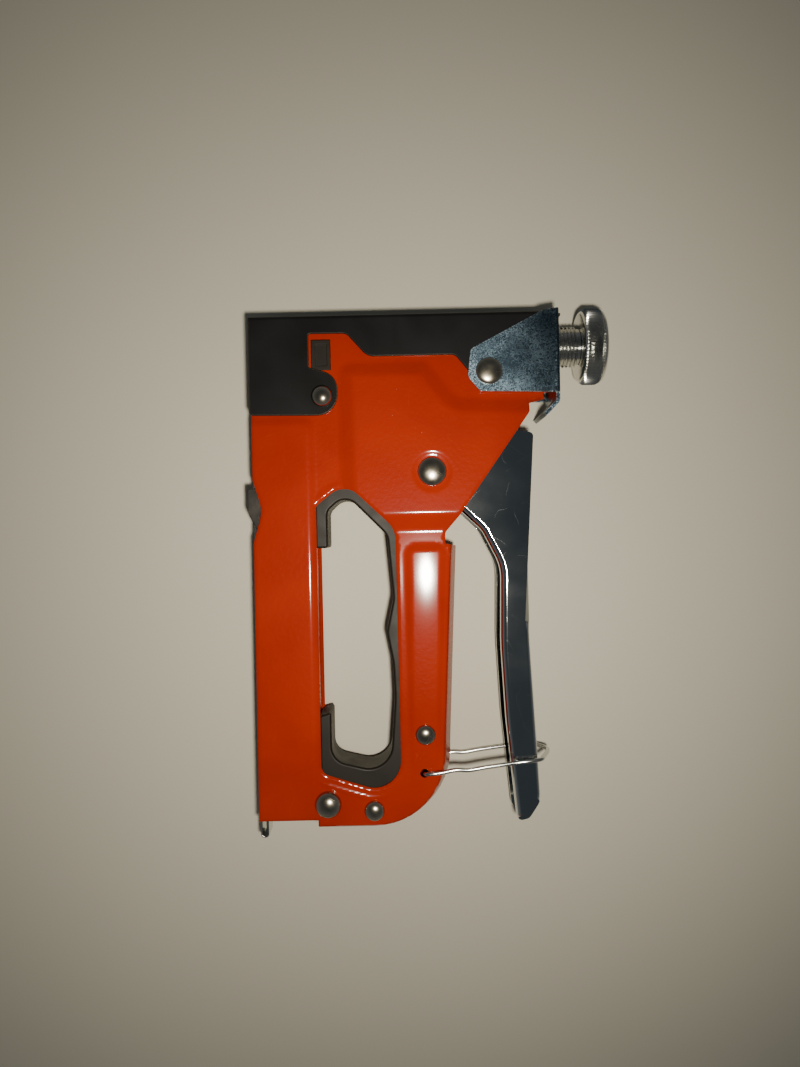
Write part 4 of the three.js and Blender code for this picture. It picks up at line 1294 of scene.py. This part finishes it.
def dress_all():
    """Gives each visible mesh the finish of its slot, and softens the edges of the solids that stay."""
    dressed = 0
    for piece in bpy.data.objects:
        if piece.type != "MESH" or piece.hide_render or piece.get("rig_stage"):
            continue
        slot = piece.get("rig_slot") or slot_of_node[piece.name]
        piece.data.materials.clear()
        piece.data.materials.append(FINISHES[slot])
        if piece.name in frame["nodes"]:
            welding = piece.modifiers.new("weld", "WELD")
            welding.merge_threshold = 0.000002
            edge_break = piece.modifiers.new("edge_break", "BEVEL")
            edge_break.width = 0.0002
            edge_break.segments = 2
            edge_break.angle_limit = math.radians(40)
        dressed += 1
    print("dressed", dressed, "pieces")


dress_all()

# %% [markdown]
# ## Floor, light and camera
# The gun lies on a plain pale floor.  One small soft lamp hangs above it, a little below and to the right of
# the camera: flat bright faces then look dark, and only folds, domes and rounded edges give it back as
# glints.  A dim world fills the rest.

# %% Floor
def paper_floor():
    bpy.ops.object.select_all(action="DESELECT")
    bpy.ops.mesh.primitive_plane_add(size=3.0, location=(0, 0, -0.0002))
    floor = bpy.context.object
    floor.name = "floor"
    bpy.ops.object.transform_apply(location=True, rotation=True, scale=True)
    material = bpy.data.materials.new("pale_paper")
    material.use_nodes = True
    nodes = material.node_tree.nodes
    links = material.node_tree.links
    shader = nodes["Principled BSDF"]
    shader.inputs["Roughness"].default_value = 0.75
    shader.inputs["Specular IOR Level"].default_value = 0.25
    place_of = nodes.new("ShaderNodeTexCoord")
    cloud = nodes.new("ShaderNodeTexNoise")
    cloud.inputs["Scale"].default_value = 6
    tint = nodes.new("ShaderNodeValToRGB")
    tint.color_ramp.elements[0].color = (0.66, 0.625, 0.52, 1)
    tint.color_ramp.elements[1].color = (0.72, 0.685, 0.575, 1)
    links.new(place_of.outputs["Object"], cloud.inputs["Vector"])
    links.new(cloud.outputs["Fac"], tint.inputs["Fac"])
    links.new(tint.outputs["Color"], shader.inputs["Base Color"])
    floor.data.materials.append(material)
    floor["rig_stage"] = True


paper_floor()

# %% Lights
CAMERA_PLACE = Vector((-0.01002, 0.01349, 0.2921))
LAMP_OFFSET = Vector((0.0186, -0.028, 0.01))


def lamp(name, place, target, size, power, color, spread=math.pi):
    data = bpy.data.lights.new(name, "AREA")
    data.shape = "DISK"
    data.size = size
    data.energy = power
    data.color = color
    data.spread = spread
    light = bpy.data.objects.new(name, data)
    bpy.context.scene.collection.objects.link(light)
    light.location = place
    light.rotation_euler = (Vector(target) - Vector(place)).to_track_quat("-Z", "Y").to_euler()
    return light


LAMP_TARGET = (-0.018, 0.022, 0)
lamp("key_lamp", CAMERA_PLACE + LAMP_OFFSET, LAMP_TARGET, 0.02, 0.31, (1.0, 0.93, 0.78), 1.75)


def dim_room():
    """A dim world: nearly dark overhead and lighter towards the horizon, as in a room with pale walls."""
    room = bpy.data.worlds.new("room")
    room.use_nodes = True
    tree = room.node_tree
    direction = node(tree, "TexCoord").outputs["Generated"]
    height = node(tree, "SeparateXYZ", {0: direction}).outputs["Z"]
    shade = node(tree, "ValToRGB", {"Fac": height})
    stops = shade.color_ramp.elements
    stops[0].position, stops[0].color = 0.0, (0.17, 0.17, 0.17, 1)
    stops[1].position, stops[1].color = 0.85, (0.040, 0.047, 0.052, 1)
    tree.links.new(shade.outputs["Color"], tree.nodes["Background"].inputs["Color"])
    bpy.context.scene.world = room


dim_room()

# %% Camera
camera_data = bpy.data.cameras.new("camera")
camera_data.sensor_fit = "HORIZONTAL"
camera_data.sensor_width = 36
camera_data.lens = 36.05
camera_data.clip_start = 0.01
camera = bpy.data.objects.new("camera", camera_data)
camera.location = CAMERA_PLACE
camera.rotation_euler = (0, 0, -0.0222)
bpy.context.scene.collection.objects.link(camera)
bpy.context.scene.camera = camera
